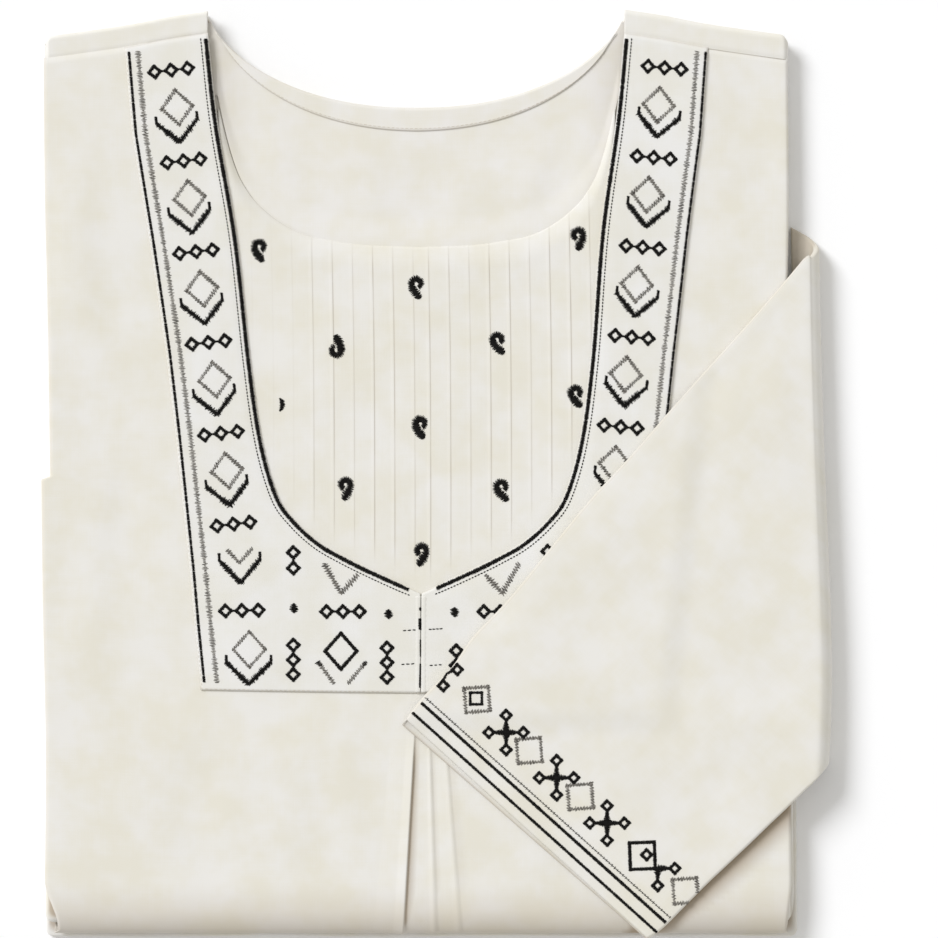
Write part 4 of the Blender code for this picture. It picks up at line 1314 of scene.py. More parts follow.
@dataclass
class YokeHalf:
    """One half of the embroidered yoke, from its shoulder seam to the front slit."""

    LINE_POINTS: ClassVar[int] = 260

    name: str
    side: int
    cut: SheetCut = SheetCut(0.145, 0.345, 0.0198)
    edge_fall: float = 0.7
    edge_width: float = 1.1
    inner_margin: float = 1.1
    margin_reach: float = 9.0
    seam_gap: float = 0.12
    inner_settle: float = 0.45
    settle_width: float = 7.0

    def line(
        self, inset: float | Array, outer: bool, start: float, end: float, count: int = LINE_POINTS
    ) -> Array:
        """X and Y along one edge of the yoke, moved in by an inset.

        Args:
            inset: Distance in from the edge, one number or one for each point.
            outer: Follow the outer edge in place of the inner one.
            start: First station's place.
            end: Last station's place.
            count: Points along the line.

        Returns:
            The line's points.
        """
        places = np.linspace(start, end, count)
        out, y = yoke_point(places, np.full(count, 1.0 if outer else 0.0))
        out, y = moved_line(np.column_stack((out, y)), np.multiply(inset, -1.0 if outer else 1.0)).T
        return np.column_stack((centre_x(y) + self.side * out, y))

    def outer_seam(self) -> Array:
        """The line of plain stitches down the outer edge and along the foot."""
        return self.line(0.7, outer=True, start=0.05, end=10.6, count=400)

    def build(self, binding: Object) -> Object:
        """Make the half.

        Args:
            binding: The strip that binds its edge of the slit. It is not used.

        Returns:
            The finished piece.
        """
        last = len(YOKE_STATIONS.rows) - 1
        corner = YOKE_CORNER_PLACE
        places = spread((0.0, 0.25, corner, last), (8, 108, 60))[:, None]
        shares = spread((0.0, 0.05, 0.95, 1.0), (6, 26, 6))[None]
        if self.side < 0:
            shares = shares[:, ::-1]
        out, y = yoke_point(places + 0 * shares, shares + 0 * places)
        inner_out, inner_y = yoke_point(places, np.zeros_like(places))
        outer_out, outer_y = yoke_point(places, np.ones_like(places))
        width = np.hypot(outer_out - inner_out, outer_y - inner_y)
        near_inner = np.clip(1 - shares * width / self.margin_reach, 0.0, 1.0)
        inner_step = self.inner_margin * near_inner * ease(last, last - 1.5, places)
        out = out - inner_step * (outer_out - inner_out) / width
        y = y - inner_step * (outer_y - inner_y) / width
        from_edge = np.minimum(shares * width, (1 - shares) * width)
        from_seam = (places / 0.02).clip(0.0, 9.0)
        fall = self.edge_fall * (1 - ease(0.0, self.edge_width, np.minimum(from_edge, from_seam)))
        on_bib = ease(1.0, 3.0, places) * ease(last, last - 1.0, places)
        fall = fall + self.inner_settle * (1 - ease(0.0, self.settle_width, shares * width)) * on_bib
        to_seam = shoulder_edge_y(out[:1]) - SHOULDER_SEAM_DROP - self.seam_gap - y[:1]
        y = y + to_seam * (1 - np.clip(places / 0.5, 0.0, 1.0))
        x = centre_x(y) + self.side * out
        sheet = ClothSheet(self.name + "_cloth", raised(x, y, YOKE_LEVEL - fall + BODY_DRAPE.lift(x, y)))
        # Painted shade along the yoke's edges and its shoulder seam.
        sheet.fold = 0.30 * ease(0.4, 0.0, np.minimum(from_edge, places * 40.0))
        return sheet.make(YOKE_COTTON, self.name)


@dataclass
class SlitBinding:
    """The bound edge of the front slit, lying on one half of the yoke."""

    name: str
    side: int
    half_gap: float = 0.2
    width: float = 2.5
    crown: float = 0.22
    settled: float = 1.12

    def build(self) -> Object:
        """Make the strip.

        Returns:
            The finished piece.
        """
        top_y = YOKE_STATIONS.column("inner_y")[-1] - 1.5
        bottom_y = YOKE_STATIONS.column("outer_y")[-1] + 0.5
        y = np.linspace(top_y, bottom_y, 50)[:, None]
        share = np.linspace(0.0, 1.0, 13)[None]
        if self.side < 0:
            share = share[:, ::-1]
        x = centre_x(y) + self.side * (self.half_gap + share * self.width)
        y = y + 0 * share
        puckers = 0.05 * np.sin(y * 2.3 + self.side)
        level = BINDING_LEVEL - self.settled - self.crown * (2 * share - 1) ** 2 + puckers
        sheet = ClothSheet(self.name + "_strip", raised(x, y, level + BODY_DRAPE.lift(x, y)), 0.3)
        # Painted shade towards the strip's two edges.
        sheet.fold = 0.12 * np.abs(2 * share - 1) ** 6 + 0 * y
        return sheet.make(YOKE_COTTON, self.name)


@dataclass
class Sleeve:
    """The flattened sleeve: open at its cuff, folded down at its right and in under the body."""

    cut: SheetCut = SheetCut(0.430, 0.265, 0.108)
    half_thickness: float = 1.5
    edge_out: float = 0.8
    fold_depth: float = 8.0
    fold_bulge: float = 2.6
    on_yoke: float = YOKE_LEVEL + 0.6
    on_front: float = FRONT_LEVEL + 0.5
    cuff_layer_upper: float = 3.4
    cuff_layer_lower: float = 0.8
    cloth_per_degree: float = 0.13
    end_share: float = 0.025
    # Painted shade: at the tube's ends, on its rim, on the layer under the cuff and inside the fold.
    edge_shade: float = 0.12
    rim_shade: float = 0.20
    cuff_shade: float = 0.45
    turned_in_shade: float = 0.55

    def rest_level(self, x: Array, y: Array) -> Array:
        """Level of the underside: on the yoke, and lower where it lies on the plain front."""
        past_side = (x - centre_x(y)) - yoke_outer_half(y)
        past_foot = YOKE_STATIONS.column("outer_y")[-1] - y
        off_yoke = ease(7.0, 22.0, np.maximum(past_side, past_foot))
        return self.on_yoke + (self.on_front - self.on_yoke) * off_yoke

    def _section(self) -> tuple[Array, Array, Array]:
        """Round the flattened tube: share across, distance in from the nearer end, and side.

        The share is used on the flat stretches, and the distance in round the two ends.
        """
        ends = np.radians(np.linspace(0.0, 90.0, 7))
        inward = self.half_thickness * (1 - np.cos(ends)) - self.edge_out
        upward = self.half_thickness * np.sin(ends)
        top = np.linspace(0.02, 0.98, 74)
        bottom = np.linspace(0.97, 0.03, 24)
        share = np.concatenate((np.zeros(7), top, np.ones(13), bottom, np.zeros(6)))
        inset = np.concatenate((inward, 0 * top, -inward[::-1], -inward[1:], 0 * bottom, inward[:0:-1]))
        side = np.concatenate(
            (
                upward,
                np.full(len(top), self.half_thickness),
                upward[::-1],
                -upward[1:],
                np.full(len(bottom), -self.half_thickness),
                -upward[:0:-1],
            )
        )
        return share, inset, side

    def _shades(self, places: Array, part: Array, side: Array, turn: Array) -> Array:
        """The strongest painted shade at each point.

        Args:
            places: Each row's place down the stations.
            part: Share of the way from the upper edge to the lower one.
            side: Distance above the middle of the tube, or below it.
            turn: Degrees that each row is folded down.

        Returns:
            One number for each point, from 0 up.
        """
        at_ends = ease(self.end_share, 0.0, np.abs(part - 1.0)) + ease(self.end_share, 0.0, np.abs(part))
        edge = self.edge_shade * at_ends * (side < 0.5)
        rim = self.rim_shade * (part < 0.02) * (side < self.half_thickness)
        # Painted shadow on the lower layer past the cuff, and painted tan shade inside the fold at the top.
        under_cuff = self.cuff_shade * (side < 0) * (1 - ease(0.0, 0.12, places))
        turned_in = self.turned_in_shade * (side < 0) * ease(60.0, 120.0, turn) * ease(0.25, 0.0, part)
        return np.maximum.reduce([edge, rim + 0 * places, under_cuff, turned_in])

    def build(self) -> Object:
        """Make the sleeve.

        Returns:
            The finished piece.
        """
        last = len(SLEEVE_STATIONS.rows) - 1
        places = spread((0.0, 0.4, 11.0, last), (5, 84, 40))[:, None]
        share, inset, side = self._section()
        names = ("upper_x", "upper_y", "lower_x", "lower_y")
        upper_x, upper_y, lower_x, lower_y = (SLEEVE_STATIONS.along(name, places) for name in names)
        turn = SLEEVE_STATIONS.along("turn", places, straight=True)
        run_x, run_y = lower_x - upper_x, lower_y - upper_y
        width = np.hypot(run_x, run_y)
        part = share + inset / width
        shift = (self.cuff_layer_upper * (1 - part) + self.cuff_layer_lower * part) * (side < 0)
        shift = shift * (1 - ease(0.0, 2.0, places))
        spot_x = upper_x + part * run_x + shift * run_y / width
        spot_y = upper_y + part * run_y - shift * run_x / width
        bulge = self.fold_bulge * np.sin(math.pi * np.clip(part, 0, 1) ** 2.5) * ease(160.0, 190.0, spot_x)
        flat_z = stack_top(spot_y) + self.rest_level(spot_x, spot_y) + self.half_thickness
        tilt = np.radians(turn)
        middle_z = self.half_thickness + (flat_z - self.half_thickness) / 2 * (1 + np.cos(tilt))
        on_top = np.clip(side / self.half_thickness, 0.0, 1.0) * ease(0.0, 0.05, part) * ease(1.0, 0.95, part)
        lift = SLEEVE_DRAPE.lift(spot_x, spot_y) * on_top * (1 - ease(0.0, 60.0, turn))
        lift = lift * ease(0.0, 1.6, places) + BODY_DRAPE.lift(spot_x, spot_y) * (1 - ease(0.0, 40.0, turn))
        off = side + lift
        x = spot_x + bulge + (self.fold_depth - self.half_thickness) * np.sin(tilt) + off * np.sin(tilt)
        grid = np.stack((x, spot_y, middle_z + off * np.cos(tilt)), axis=-1)
        sheet = ClothSheet("folded_sleeve", grid, tube=True)
        along = np.array([run_x[0, 0], run_y[0, 0]]) / width[0, 0]
        across_tube = spot_x * along[0] + spot_y * along[1] + 0 * tilt
        down_tube = spot_y * along[0] - spot_x * along[1] + turn * self.cloth_per_degree
        sheet.cloth = np.stack((across_tube, down_tube), axis=-1)
        sheet.fold = self._shades(places, part, side, turn)
        return sheet.make(IVORY_COTTON, "sleeve")


# ---------------------------------------------------------------- stitching
@dataclass(frozen=True)
class StitchStyle:
    """How one kind of stitch follows its path, in millimetres and degrees."""

    pitch: float
    turn: float
    zigzag: float
    radius: float
    lift: float
    jitter: float
    thread: ThreadFinish


class Stitch(Enum):
    """The kinds of stitch on the tunic."""

    SATIN = StitchStyle(0.45, 84.0, 0.0, 0.30, 0.26, 0.16, BLACK_THREAD)
    FEATHER = StitchStyle(0.62, 78.0, 0.0, 0.36, 0.28, 0.40, BLACK_THREAD)
    RUNNING = StitchStyle(1.65, 0.0, 2.0, 0.33, 0.12, 0.12, BLACK_THREAD)
    CHAIN = StitchStyle(0.92, 52.0, 30.0, 0.21, 0.20, 0.25, BLACK_THREAD)
    LADDER = StitchStyle(0.78, 86.0, 4.0, 0.27, 0.20, 0.48, GREY_THREAD)
    SEED = StitchStyle(0.70, 76.0, 10.0, 0.28, 0.22, 0.38, GREY_THREAD)
    SEAM = StitchStyle(2.30, 0.0, 0.0, 0.13, 0.06, 0.06, IVORY_THREAD)


class StitchTree:
    """The node tree that lays stitches along paths, on whatever cloth lies under them."""

    LOOK_DOWN_FROM = 0.5
    DIP = 0.35
    WOBBLE = 0.12

    def __init__(self) -> None:
        """Build the tree once, for every kind of stitch."""
        self.tree = bpy.data.node_groups.new("lay_stitches", "GeometryNodeTree")
        self.sockets: dict[str, str] = {}
        self._input("Paths", "NodeSocketGeometry")
        self._input("Cloth", "NodeSocketObject")
        for name in ("Pitch", "Turn", "Zigzag", "Thread Radius", "Lift", "Jitter"):
            self._input(name, "NodeSocketFloat")
        self._input("Seed", "NodeSocketInt")
        self._input("Thread", "NodeSocketMaterial")
        self.tree.interface.new_socket(name="Stitches", in_out="OUTPUT", socket_type="NodeSocketGeometry")
        self.bench = NodeBench(self.tree)
        self.given = self.bench.node("NodeGroupInput")
        self._wire()

    def _input(self, name: str, kind: str) -> None:
        """Add one named input and keep its identifier."""
        item = self.tree.interface.new_socket(name=name, in_out="INPUT", socket_type=kind)
        self.sockets[name] = item.identifier

    def _one_stitch(self, radius: Value, lift: Value) -> Node:
        """A bowed thread of unit length along X, whose ends dip into the cloth.

        Args:
            radius: Radius of the thread.
            lift: How high its middle stands.

        Returns:
            The node that gives the stitch's mesh.
        """
        bench = self.bench
        line = bench.node("GeometryNodeCurvePrimitiveLine", {"Start": (-0.5, 0, 0), "End": (0.5, 0, 0)})
        steps = bench.node("GeometryNodeResampleCurve", {"Curve": line, "Count": 4})
        place = bench.node("ShaderNodeSeparateXYZ", {0: bench.node("GeometryNodeInputPosition")})
        square = bench.value(place) * bench.value(place) * 4.0
        height = lift * (1.0 - square) - radius * self.DIP * square
        offset = bench.node("ShaderNodeCombineXYZ", {2: height})
        bowed = bench.node("GeometryNodeSetPosition", {"Geometry": steps, "Offset": offset})
        ring = bench.node("GeometryNodeCurvePrimitiveCircle", {"Resolution": 5, "Radius": 1.0})
        thinned = radius * (1.0 - square * 0.5)
        skin = {"Curve": bowed, "Profile Curve": ring, "Scale": thinned, "Fill Caps": True}
        tube = bench.node("GeometryNodeCurveToMesh", skin)
        return bench.node("GeometryNodeSetShadeSmooth", {"Geometry": tube})

    def _laid_points(self) -> tuple[Node, Node]:
        """Points at a stitch's pitch along the paths, let down onto the cloth.

        Returns:
            The node that gives the points, and one that turns a stitch along its path.
        """
        bench = self.bench
        curve = bench.node("GeometryNodeMeshToCurve", {"Mesh": bench.out(self.given, "Paths")})
        along = {"Curve": curve, "Length": bench.out(self.given, "Pitch")}
        points = bench.node("GeometryNodeCurveToPoints", along, mode="LENGTH")
        cloth = bench.node("GeometryNodeObjectInfo", {"Object": bench.out(self.given, "Cloth")})
        place = bench.node("ShaderNodeSeparateXYZ", {0: bench.node("GeometryNodeInputPosition")})
        over = {0: bench.out(place, 0), 1: bench.out(place, 1), 2: self.LOOK_DOWN_FROM}
        down = {
            "Target Geometry": bench.out(cloth, "Geometry"),
            "Source Position": bench.node("ShaderNodeCombineXYZ", over),
            "Ray Direction": (0.0, 0.0, -1.0),
            "Ray Length": 1.0,
        }
        ray = bench.node("GeometryNodeRaycast", down)
        missed = bench.node("FunctionNodeBooleanMath", {0: bench.out(ray, "Is Hit")}, operation="NOT")
        hits = {"Geometry": bench.out(points, "Points"), "Selection": missed}
        kept = bench.node("GeometryNodeDeleteGeometry", hits, domain="POINT")
        laid = {"Geometry": kept, "Position": bench.out(ray, "Hit Position")}
        on_cloth = bench.node("GeometryNodeSetPosition", laid)
        axes = {"Primary Axis": bench.out(ray, "Hit Normal"), "Secondary Axis": bench.out(points, "Tangent")}
        facing = bench.node("FunctionNodeAxesToRotation", axes, primary_axis="Z", secondary_axis="X")
        return on_cloth, facing

    def _wire(self) -> None:
        """Join the nodes: paths to points, points to cloth, a stitch on each point."""
        bench = self.bench
        turn, zigzag, radius, lift, jitter = (
            bench.value(self.given, name) for name in ("Turn", "Zigzag", "Thread Radius", "Lift", "Jitter")
        )
        on_cloth, facing = self._laid_points()
        other_way = bench.value(bench.node("GeometryNodeInputIndex")).modulo(2.0) * 2.0 - 1.0
        wobble = self._random(0) * self.WOBBLE
        spin = (turn + zigzag * other_way) * (math.pi / 180.0) + wobble
        around = bench.node("ShaderNodeCombineXYZ", {2: spin})
        twist = bench.node("FunctionNodeEulerToRotation", {"Euler": around})
        both = {"Rotation": facing, "Rotate By": twist}
        span = bench.node("GeometryNodeInputNamedAttribute", {"Name": "span"}, data_type="FLOAT")
        length = bench.value(span, "Attribute") * (1.0 + jitter * self._random(1))
        sewn = {
            "Points": on_cloth,
            "Instance": self._one_stitch(radius, lift),
            "Rotation": bench.node("FunctionNodeRotateRotation", both, rotation_space="LOCAL"),
            "Scale": bench.node("ShaderNodeCombineXYZ", {0: length, 1: 1.0, 2: 1.0}),
        }
        stitches = bench.node("GeometryNodeInstanceOnPoints", sewn)
        shade = self._random(2) * 0.5 + 0.5
        named = {"Geometry": stitches, "Name": "shade", "Value": shade}
        shaded = bench.node("GeometryNodeStoreNamedAttribute", named, data_type="FLOAT", domain="INSTANCE")
        real = bench.node("GeometryNodeRealizeInstances", {"Geometry": shaded})
        dyed = {"Geometry": real, "Material": bench.out(self.given, "Thread")}
        bench.node("NodeGroupOutput", {"Stitches": bench.node("GeometryNodeSetMaterial", dyed)})

    def _random(self, step: int) -> Value:
        """A fixed random number between -1 and 1 for each stitch."""
        seed = self.bench.value(self.given, "Seed") + float(step)
        inputs = {"Min": -1.0, "Max": 1.0, "Seed": seed}
        drawn = self.bench.node("FunctionNodeRandomValue", inputs, data_type="FLOAT")
        return self.bench.value(drawn, "Value")

    def sew(self, paths: Object, cloth: Object, style: StitchStyle, seed: int) -> None:
        """Turn an object's paths into plain stitches on a cloth.

        Args:
            paths: Object whose mesh holds the paths.
            cloth: The cloth that they lie on.
            style: The kind of stitch.
            seed: Fixed seed.
        """
        modifier = paths.modifiers.new("stitches", "NODES")
        modifier.node_group = self.tree
        values = {
            "Cloth": cloth,
            "Pitch": style.pitch * MM,
            "Turn": style.turn,
            "Zigzag": style.zigzag,
            "Thread Radius": style.radius * MM,
            "Lift": style.lift * MM,
            "Jitter": style.jitter,
            "Seed": seed,
            "Thread": style.thread.material(),
        }
        for name, value in values.items():
            modifier[self.sockets[name]] = value
        evaluated = paths.evaluated_get(bpy.context.evaluated_depsgraph_get())
        stitches = bpy.data.meshes.new_from_object(evaluated)
        paths.modifiers.remove(modifier)
        paths.data = stitches


def placed(points: Array, centre: tuple, turn: float) -> Array:
    """Points turned by degrees about the origin and moved to a centre."""
    angle = math.radians(turn)
    turning = np.array([[math.cos(angle), math.sin(angle)], [-math.sin(angle), math.cos(angle)]])
    return np.asarray(points, float) @ turning + np.asarray(centre, float)


class Embroidery:
    """Gathers the stitch paths that lie on one cloth, then sews them, one object a kind."""

    CORNER_REACH = 0.32
    SMALL_DIAMOND = 2.85
    CHEVRON_SPAN = 3.1
    HOOK = 3.4
    PAISLEY_SIZE = 1.2

    def __init__(self, name: str, cloth: Object) -> None:
        """Start with no paths."""
        self.name = name
        self.cloth = cloth
        self.paths: dict[Stitch, list[tuple[Array, Array]]] = {}

    def row(self, kind: Stitch, points: Array, span: float | Array) -> None:
        """Add one path.

        Args:
            kind: The kind of stitch.
            points: X and Y of the path's points.
            span: Length of each stitch along the path.
        """
        line = np.asarray(points, float)
        spans = np.broadcast_to(np.asarray(span, float), len(line))
        self.paths.setdefault(kind, []).append((line, spans))

    def dashed(self, line: Array, span: float, dash: float, gap: float) -> None:
        """Add a black satin line broken into uneven dashes by short gaps.

        Args:
            line: X and Y of the line's points.
            span: Length of its stitches.
            dash: Usual length of a dash.
            gap: Length of a gap.
        """
        travelled = np.concatenate(([0.0], np.cumsum(np.linalg.norm(np.diff(line, axis=0), axis=1))))
        start, number = 0.0, 0
        while start < travelled[-1] - gap:
            end = min(start + dash * (1.0 + 0.3 * math.sin(2.4 * number)), travelled[-1])
            at = np.linspace(start, end, 6)
            self.row(Stitch.SATIN, np.column_stack([np.interp(at, travelled, axis) for axis in line.T]), span)
            start, number = end + gap, number + 1

    def outline(
        self, kind: Stitch, centre: tuple, half: tuple, turn: float, span: float, square: bool = False
    ) -> None:
        """Add a diamond, or an upright square, as four sides that cross at its corners.

        Args:
            kind: The kind of stitch.
            centre: X and Y of its middle.
            half: Half its width and half its height.
            turn: Degrees that it is turned.
            span: Length of its stitches.
            square: Corners on the diagonals in place of the axes.
        """
        corners = [(1, 1), (-1, 1), (-1, -1), (1, -1)] if square else [(0, 1), (-1, 0), (0, -1), (1, 0)]
        ring = placed(np.multiply(corners, half), centre, turn)
        for start, end in zip(ring, np.roll(ring, -1, axis=0)):
            reach = (end - start) / np.linalg.norm(end - start) * span * self.CORNER_REACH
            self.row(kind, [start - reach * 0.4, end + reach], span)

    def linked(self, centre: tuple, turn: float, count: int, pitch: float) -> None:
        """Add a run of small black diamonds joined by short bars.

        Args:
            centre: X and Y of the run's middle.
            turn: Degrees that it is turned.
            count: How many diamonds.
            pitch: Distance from one to the next.
        """
        half = self.SMALL_DIAMOND
        for number in range(count):
            offset = (number - (count - 1) / 2) * pitch
            spot = placed([(offset, 0.0)], centre, turn)[0]
            self.outline(Stitch.SATIN, spot, (half, half), turn, 1.95)
            if number:
                bar = placed([(offset - pitch + half, 0.0), (offset - half, 0.0)], centre, turn)
                self.row(Stitch.SATIN, bar, 1.3)

    def chevron(self, vertex: tuple, half: float, rise: float, turn: float) -> None:
        """Add a serrated black chevron with small hooks at its tips.

        Args:
            vertex: X and Y of its point.
            half: Half its width.
            rise: How far its tips stand above its point.
            turn: Degrees that it is turned.
        """
        top = rise + self.HOOK
        shape = placed([(-half, top), (-half, rise), (0.0, 0.0), (half, rise), (half, top)], vertex, turn)
        steps = np.linspace(0.0, 1.0, 9)
        for start, end, from_tip in ((shape[1], shape[2], steps), (shape[2], shape[3], 1.0 - steps)):
            line = start + steps[:, None] * (end - start)
            self.row(Stitch.FEATHER, line, self.CHEVRON_SPAN * (0.84 + 0.16 * ease(0.0, 0.5, from_tip)))
        for hook in (shape[:2], shape[3:]):
            self.row(Stitch.SATIN, hook, 1.6)

    def grey_v(self, vertex: tuple, tips: tuple[tuple, tuple], span: float) -> None:
        """Add a plain grey V from its two tips to its vertex."""
        for tip in tips:
            self.row(Stitch.SEED, [tip, vertex], span)

    def dot(self, centre: tuple, radius: float) -> None:
        """Add a round satin dot."""
        heights = np.linspace(-0.96, 0.96, 9)
        widths = 2 * radius * np.sqrt(1 - heights**2)
        self.row(Stitch.SATIN, [(centre[0], centre[1] + radius * height) for height in heights], widths)

    def paisley(self, centre: tuple, mirrored: float, turn: float) -> None:
        """Add a small paisley: a curled head that runs down into a hooked tail.

        Args:
            centre: X and Y of its middle.
            mirrored: 1, or -1 for its mirror image.
            turn: Degrees that it is turned.
        """
        angles = np.radians(np.linspace(-60.0, 200.0, 14))
        head = np.column_stack((2.15 * np.cos(angles), 2.0 + 1.95 * np.sin(angles)))
        tail = np.array([(-1.7, 0.2), (-0.9, -1.2), (0.2, -2.5), (0.9, -3.5), (1.4, -4.3)])
        spans = np.concatenate((np.linspace(3.1, 4.0, len(head)), [4.3, 4.6, 4.9, 4.3, 2.7]))
        line = np.concatenate((head, tail)) * (mirrored * self.PAISLEY_SIZE, self.PAISLEY_SIZE)
        self.row(Stitch.SATIN, placed(line, centre, turn), spans)

    def sew(self, tree: StitchTree, seed: int) -> None:
        """Make and declare every kind of stitch gathered so far.

        Args:
            tree: The stitch tree.
            seed: Fixed seed of the first kind.
        """
        for number, (kind, rows) in enumerate(self.paths.items()):
            lines, spans = zip(*rows)
            points = np.pad(np.concatenate(lines), ((0, 0), (0, 1))) * MM
            first = np.arange(len(points) - 1)
            last_of_row = np.cumsum([len(line) for line in lines])[:-1] - 1
            first = np.delete(first, last_of_row)
            mesh = bpy.data.meshes.new(f"{self.name}_{kind.name.lower()}")
            mesh.from_pydata(points.tolist(), np.column_stack((first, first + 1)).tolist(), [])
            lengths = np.concatenate(spans) * MM
            mesh.attributes.new("span", "FLOAT", "POINT").data.foreach_set("value", lengths)
            piece = in_scene(mesh)
            tree.sew(piece, self.cloth, kind.value, seed + number)
            declare(piece)


# ---------------------------------------------------------------- embroidered designs
@dataclass
class StrapDesign:
    """The repeat down one strap of the yoke, and the lines along its edges."""

    side: int
    first_row: tuple[float, float]
    step: tuple[float, float]
    rows: int
    grey_offset: tuple[float, float]
    chevron_offset: tuple[float, float]
    tilt: float
    line_inset: float
    ladder_inset: tuple[float, float]
    outer_end: float
    inner_end: float

    def draw(self, work: Embroidery, yoke: YokeHalf) -> None:
        """Add the strap's repeat and its edge lines.

        Args:
            work: Where the paths go.
            yoke: The yoke half that carries them.
        """
        for number in range(self.rows):
            row = np.add(self.first_row, np.multiply(self.step, number))
            work.linked(row, self.tilt, 3, 8.3)
            if number == self.rows - 1:
                break
            work.outline(Stitch.SEED, row + self.grey_offset, (7.7, 8.6), self.tilt, 2.2)
            work.chevron(row + self.chevron_offset, 10.3, 10.6, self.tilt * 1.2)
        inner = {"outer": False, "start": 0.06}
        outer = {"outer": True, "start": 0.05, "end": self.outer_end}
        work.dashed(yoke.line(0.35, end=self.inner_end, **inner), 2.2, 10.0, 0.6)
        work.row(Stitch.RUNNING, yoke.line(2.85, end=self.inner_end + 0.12, **inner), 1.3)
        work.dashed(yoke.line(self.line_inset, **outer), 1.6, 3.6, 0.7)
        insets = np.linspace(*self.ladder_inset, YokeHalf.LINE_POINTS)
        work.row(Stitch.LADDER, yoke.line(insets, **outer), 2.5)


LEFT_STRAP = StrapDesign(
    side=-1,
    first_row=(-133.0, 202.0),
    step=(6.25, -45.4),
    rows=6,
    grey_offset=(3.0, -18.6),
    chevron_offset=(4.4, -36.0),
    tilt=6.4,
    line_inset=2.1,
    ladder_inset=(6.6, 8.4),
    outer_end=7.9,
    inner_end=10.35,
)
RIGHT_STRAP = StrapDesign(
    side=1,
    first_row=(113.8, 203.2),
    step=(-5.5, -44.9),
    rows=6,
    grey_offset=(-3.0, -18.6),
    chevron_offset=(-3.9, -34.6),
    tilt=-5.2,
    line_inset=1.0,
    ladder_inset=(5.4, 6.0),
    outer_end=5.2,
    inner_end=10.2,
)


@dataclass
class FootDesign:
    """The motifs on the yoke's foot, drawn for the left half and mirrored for the right."""

    mirror_x: float = -7.7
    dot_radius: float = 2.3
    head_lean: float = 0.8

    def _at(self, side: int, x: float, y: float) -> tuple[float, float]:
        """A place on the left half, or its mirror image on the right."""
        return (x, y) if side < 0 else (2 * self.mirror_x - x, y)

    def draw(self, work: Embroidery, side: int) -> None:
        """Add the motifs that lie clear of the sleeve.

        Args:
            work: Where the paths go.
            side: -1 for the left half, 1 for the right.
        """
        work.dot(self._at(side, -24.2, -70.0 if side < 0 else -69.0), self.dot_radius)
        work.linked(self._at(side, -47.0, -68.7), 0.0, 3, 8.2)
        work.linked(self._at(side, -25.0, -94.2 if side < 0 else -95.6), 90.0, 3, 7.3)
        tips = (self._at(side, -56.4, -44.8), self._at(side, -39.7, -50.4))
        work.grey_v(self._at(side, -48.0, -59.6), tips, 3.2)
        if side > 0:
            work.outline(Stitch.SATIN, (55.3, -38.6), (2.85, 2.85), 90.0, 1.9)
            return
        work.dot((-71.5, -67.0), self.dot_radius)
        work.linked((-97.5, -68.2), 1.5, 3, 8.2)
        work.linked((-71.8, -43.1), 90.0, 2, 7.8)
        work.linked((-71.8, -92.8), 90.0, 3, 7.35)
        work.grey_v((-98.8, -44.4), ((-104.8, -38.0), (-92.4, -37.2)), 2.2)
        work.chevron((-98.2, -54.4), 10.2, 11.6, 2.0)
        work.outline(Stitch.SEED, (-93.8, -87.6), (8.0, 8.9), 0.0, 1.7)
        work.chevron((-94.1, -105.0), 11.2, 11.0, 0.0)
        work.outline(Stitch.SATIN, (-48.0, -88.5), (7.9, 8.9), 0.0, 2.1)
        for way in (-1, 1):
            top = (-47.5 + way * 11.4, -94.6)
            foot = (-48.0 + way * 3.6, -104.6)
            lean = way * self.head_lean
            work.row(Stitch.SEED, [top, foot], 2.4)
            work.row(Stitch.FEATHER, [(top[0] + lean, top[1] + 0.6), (top[0] - lean, top[1] - 0.9)], 2.4)


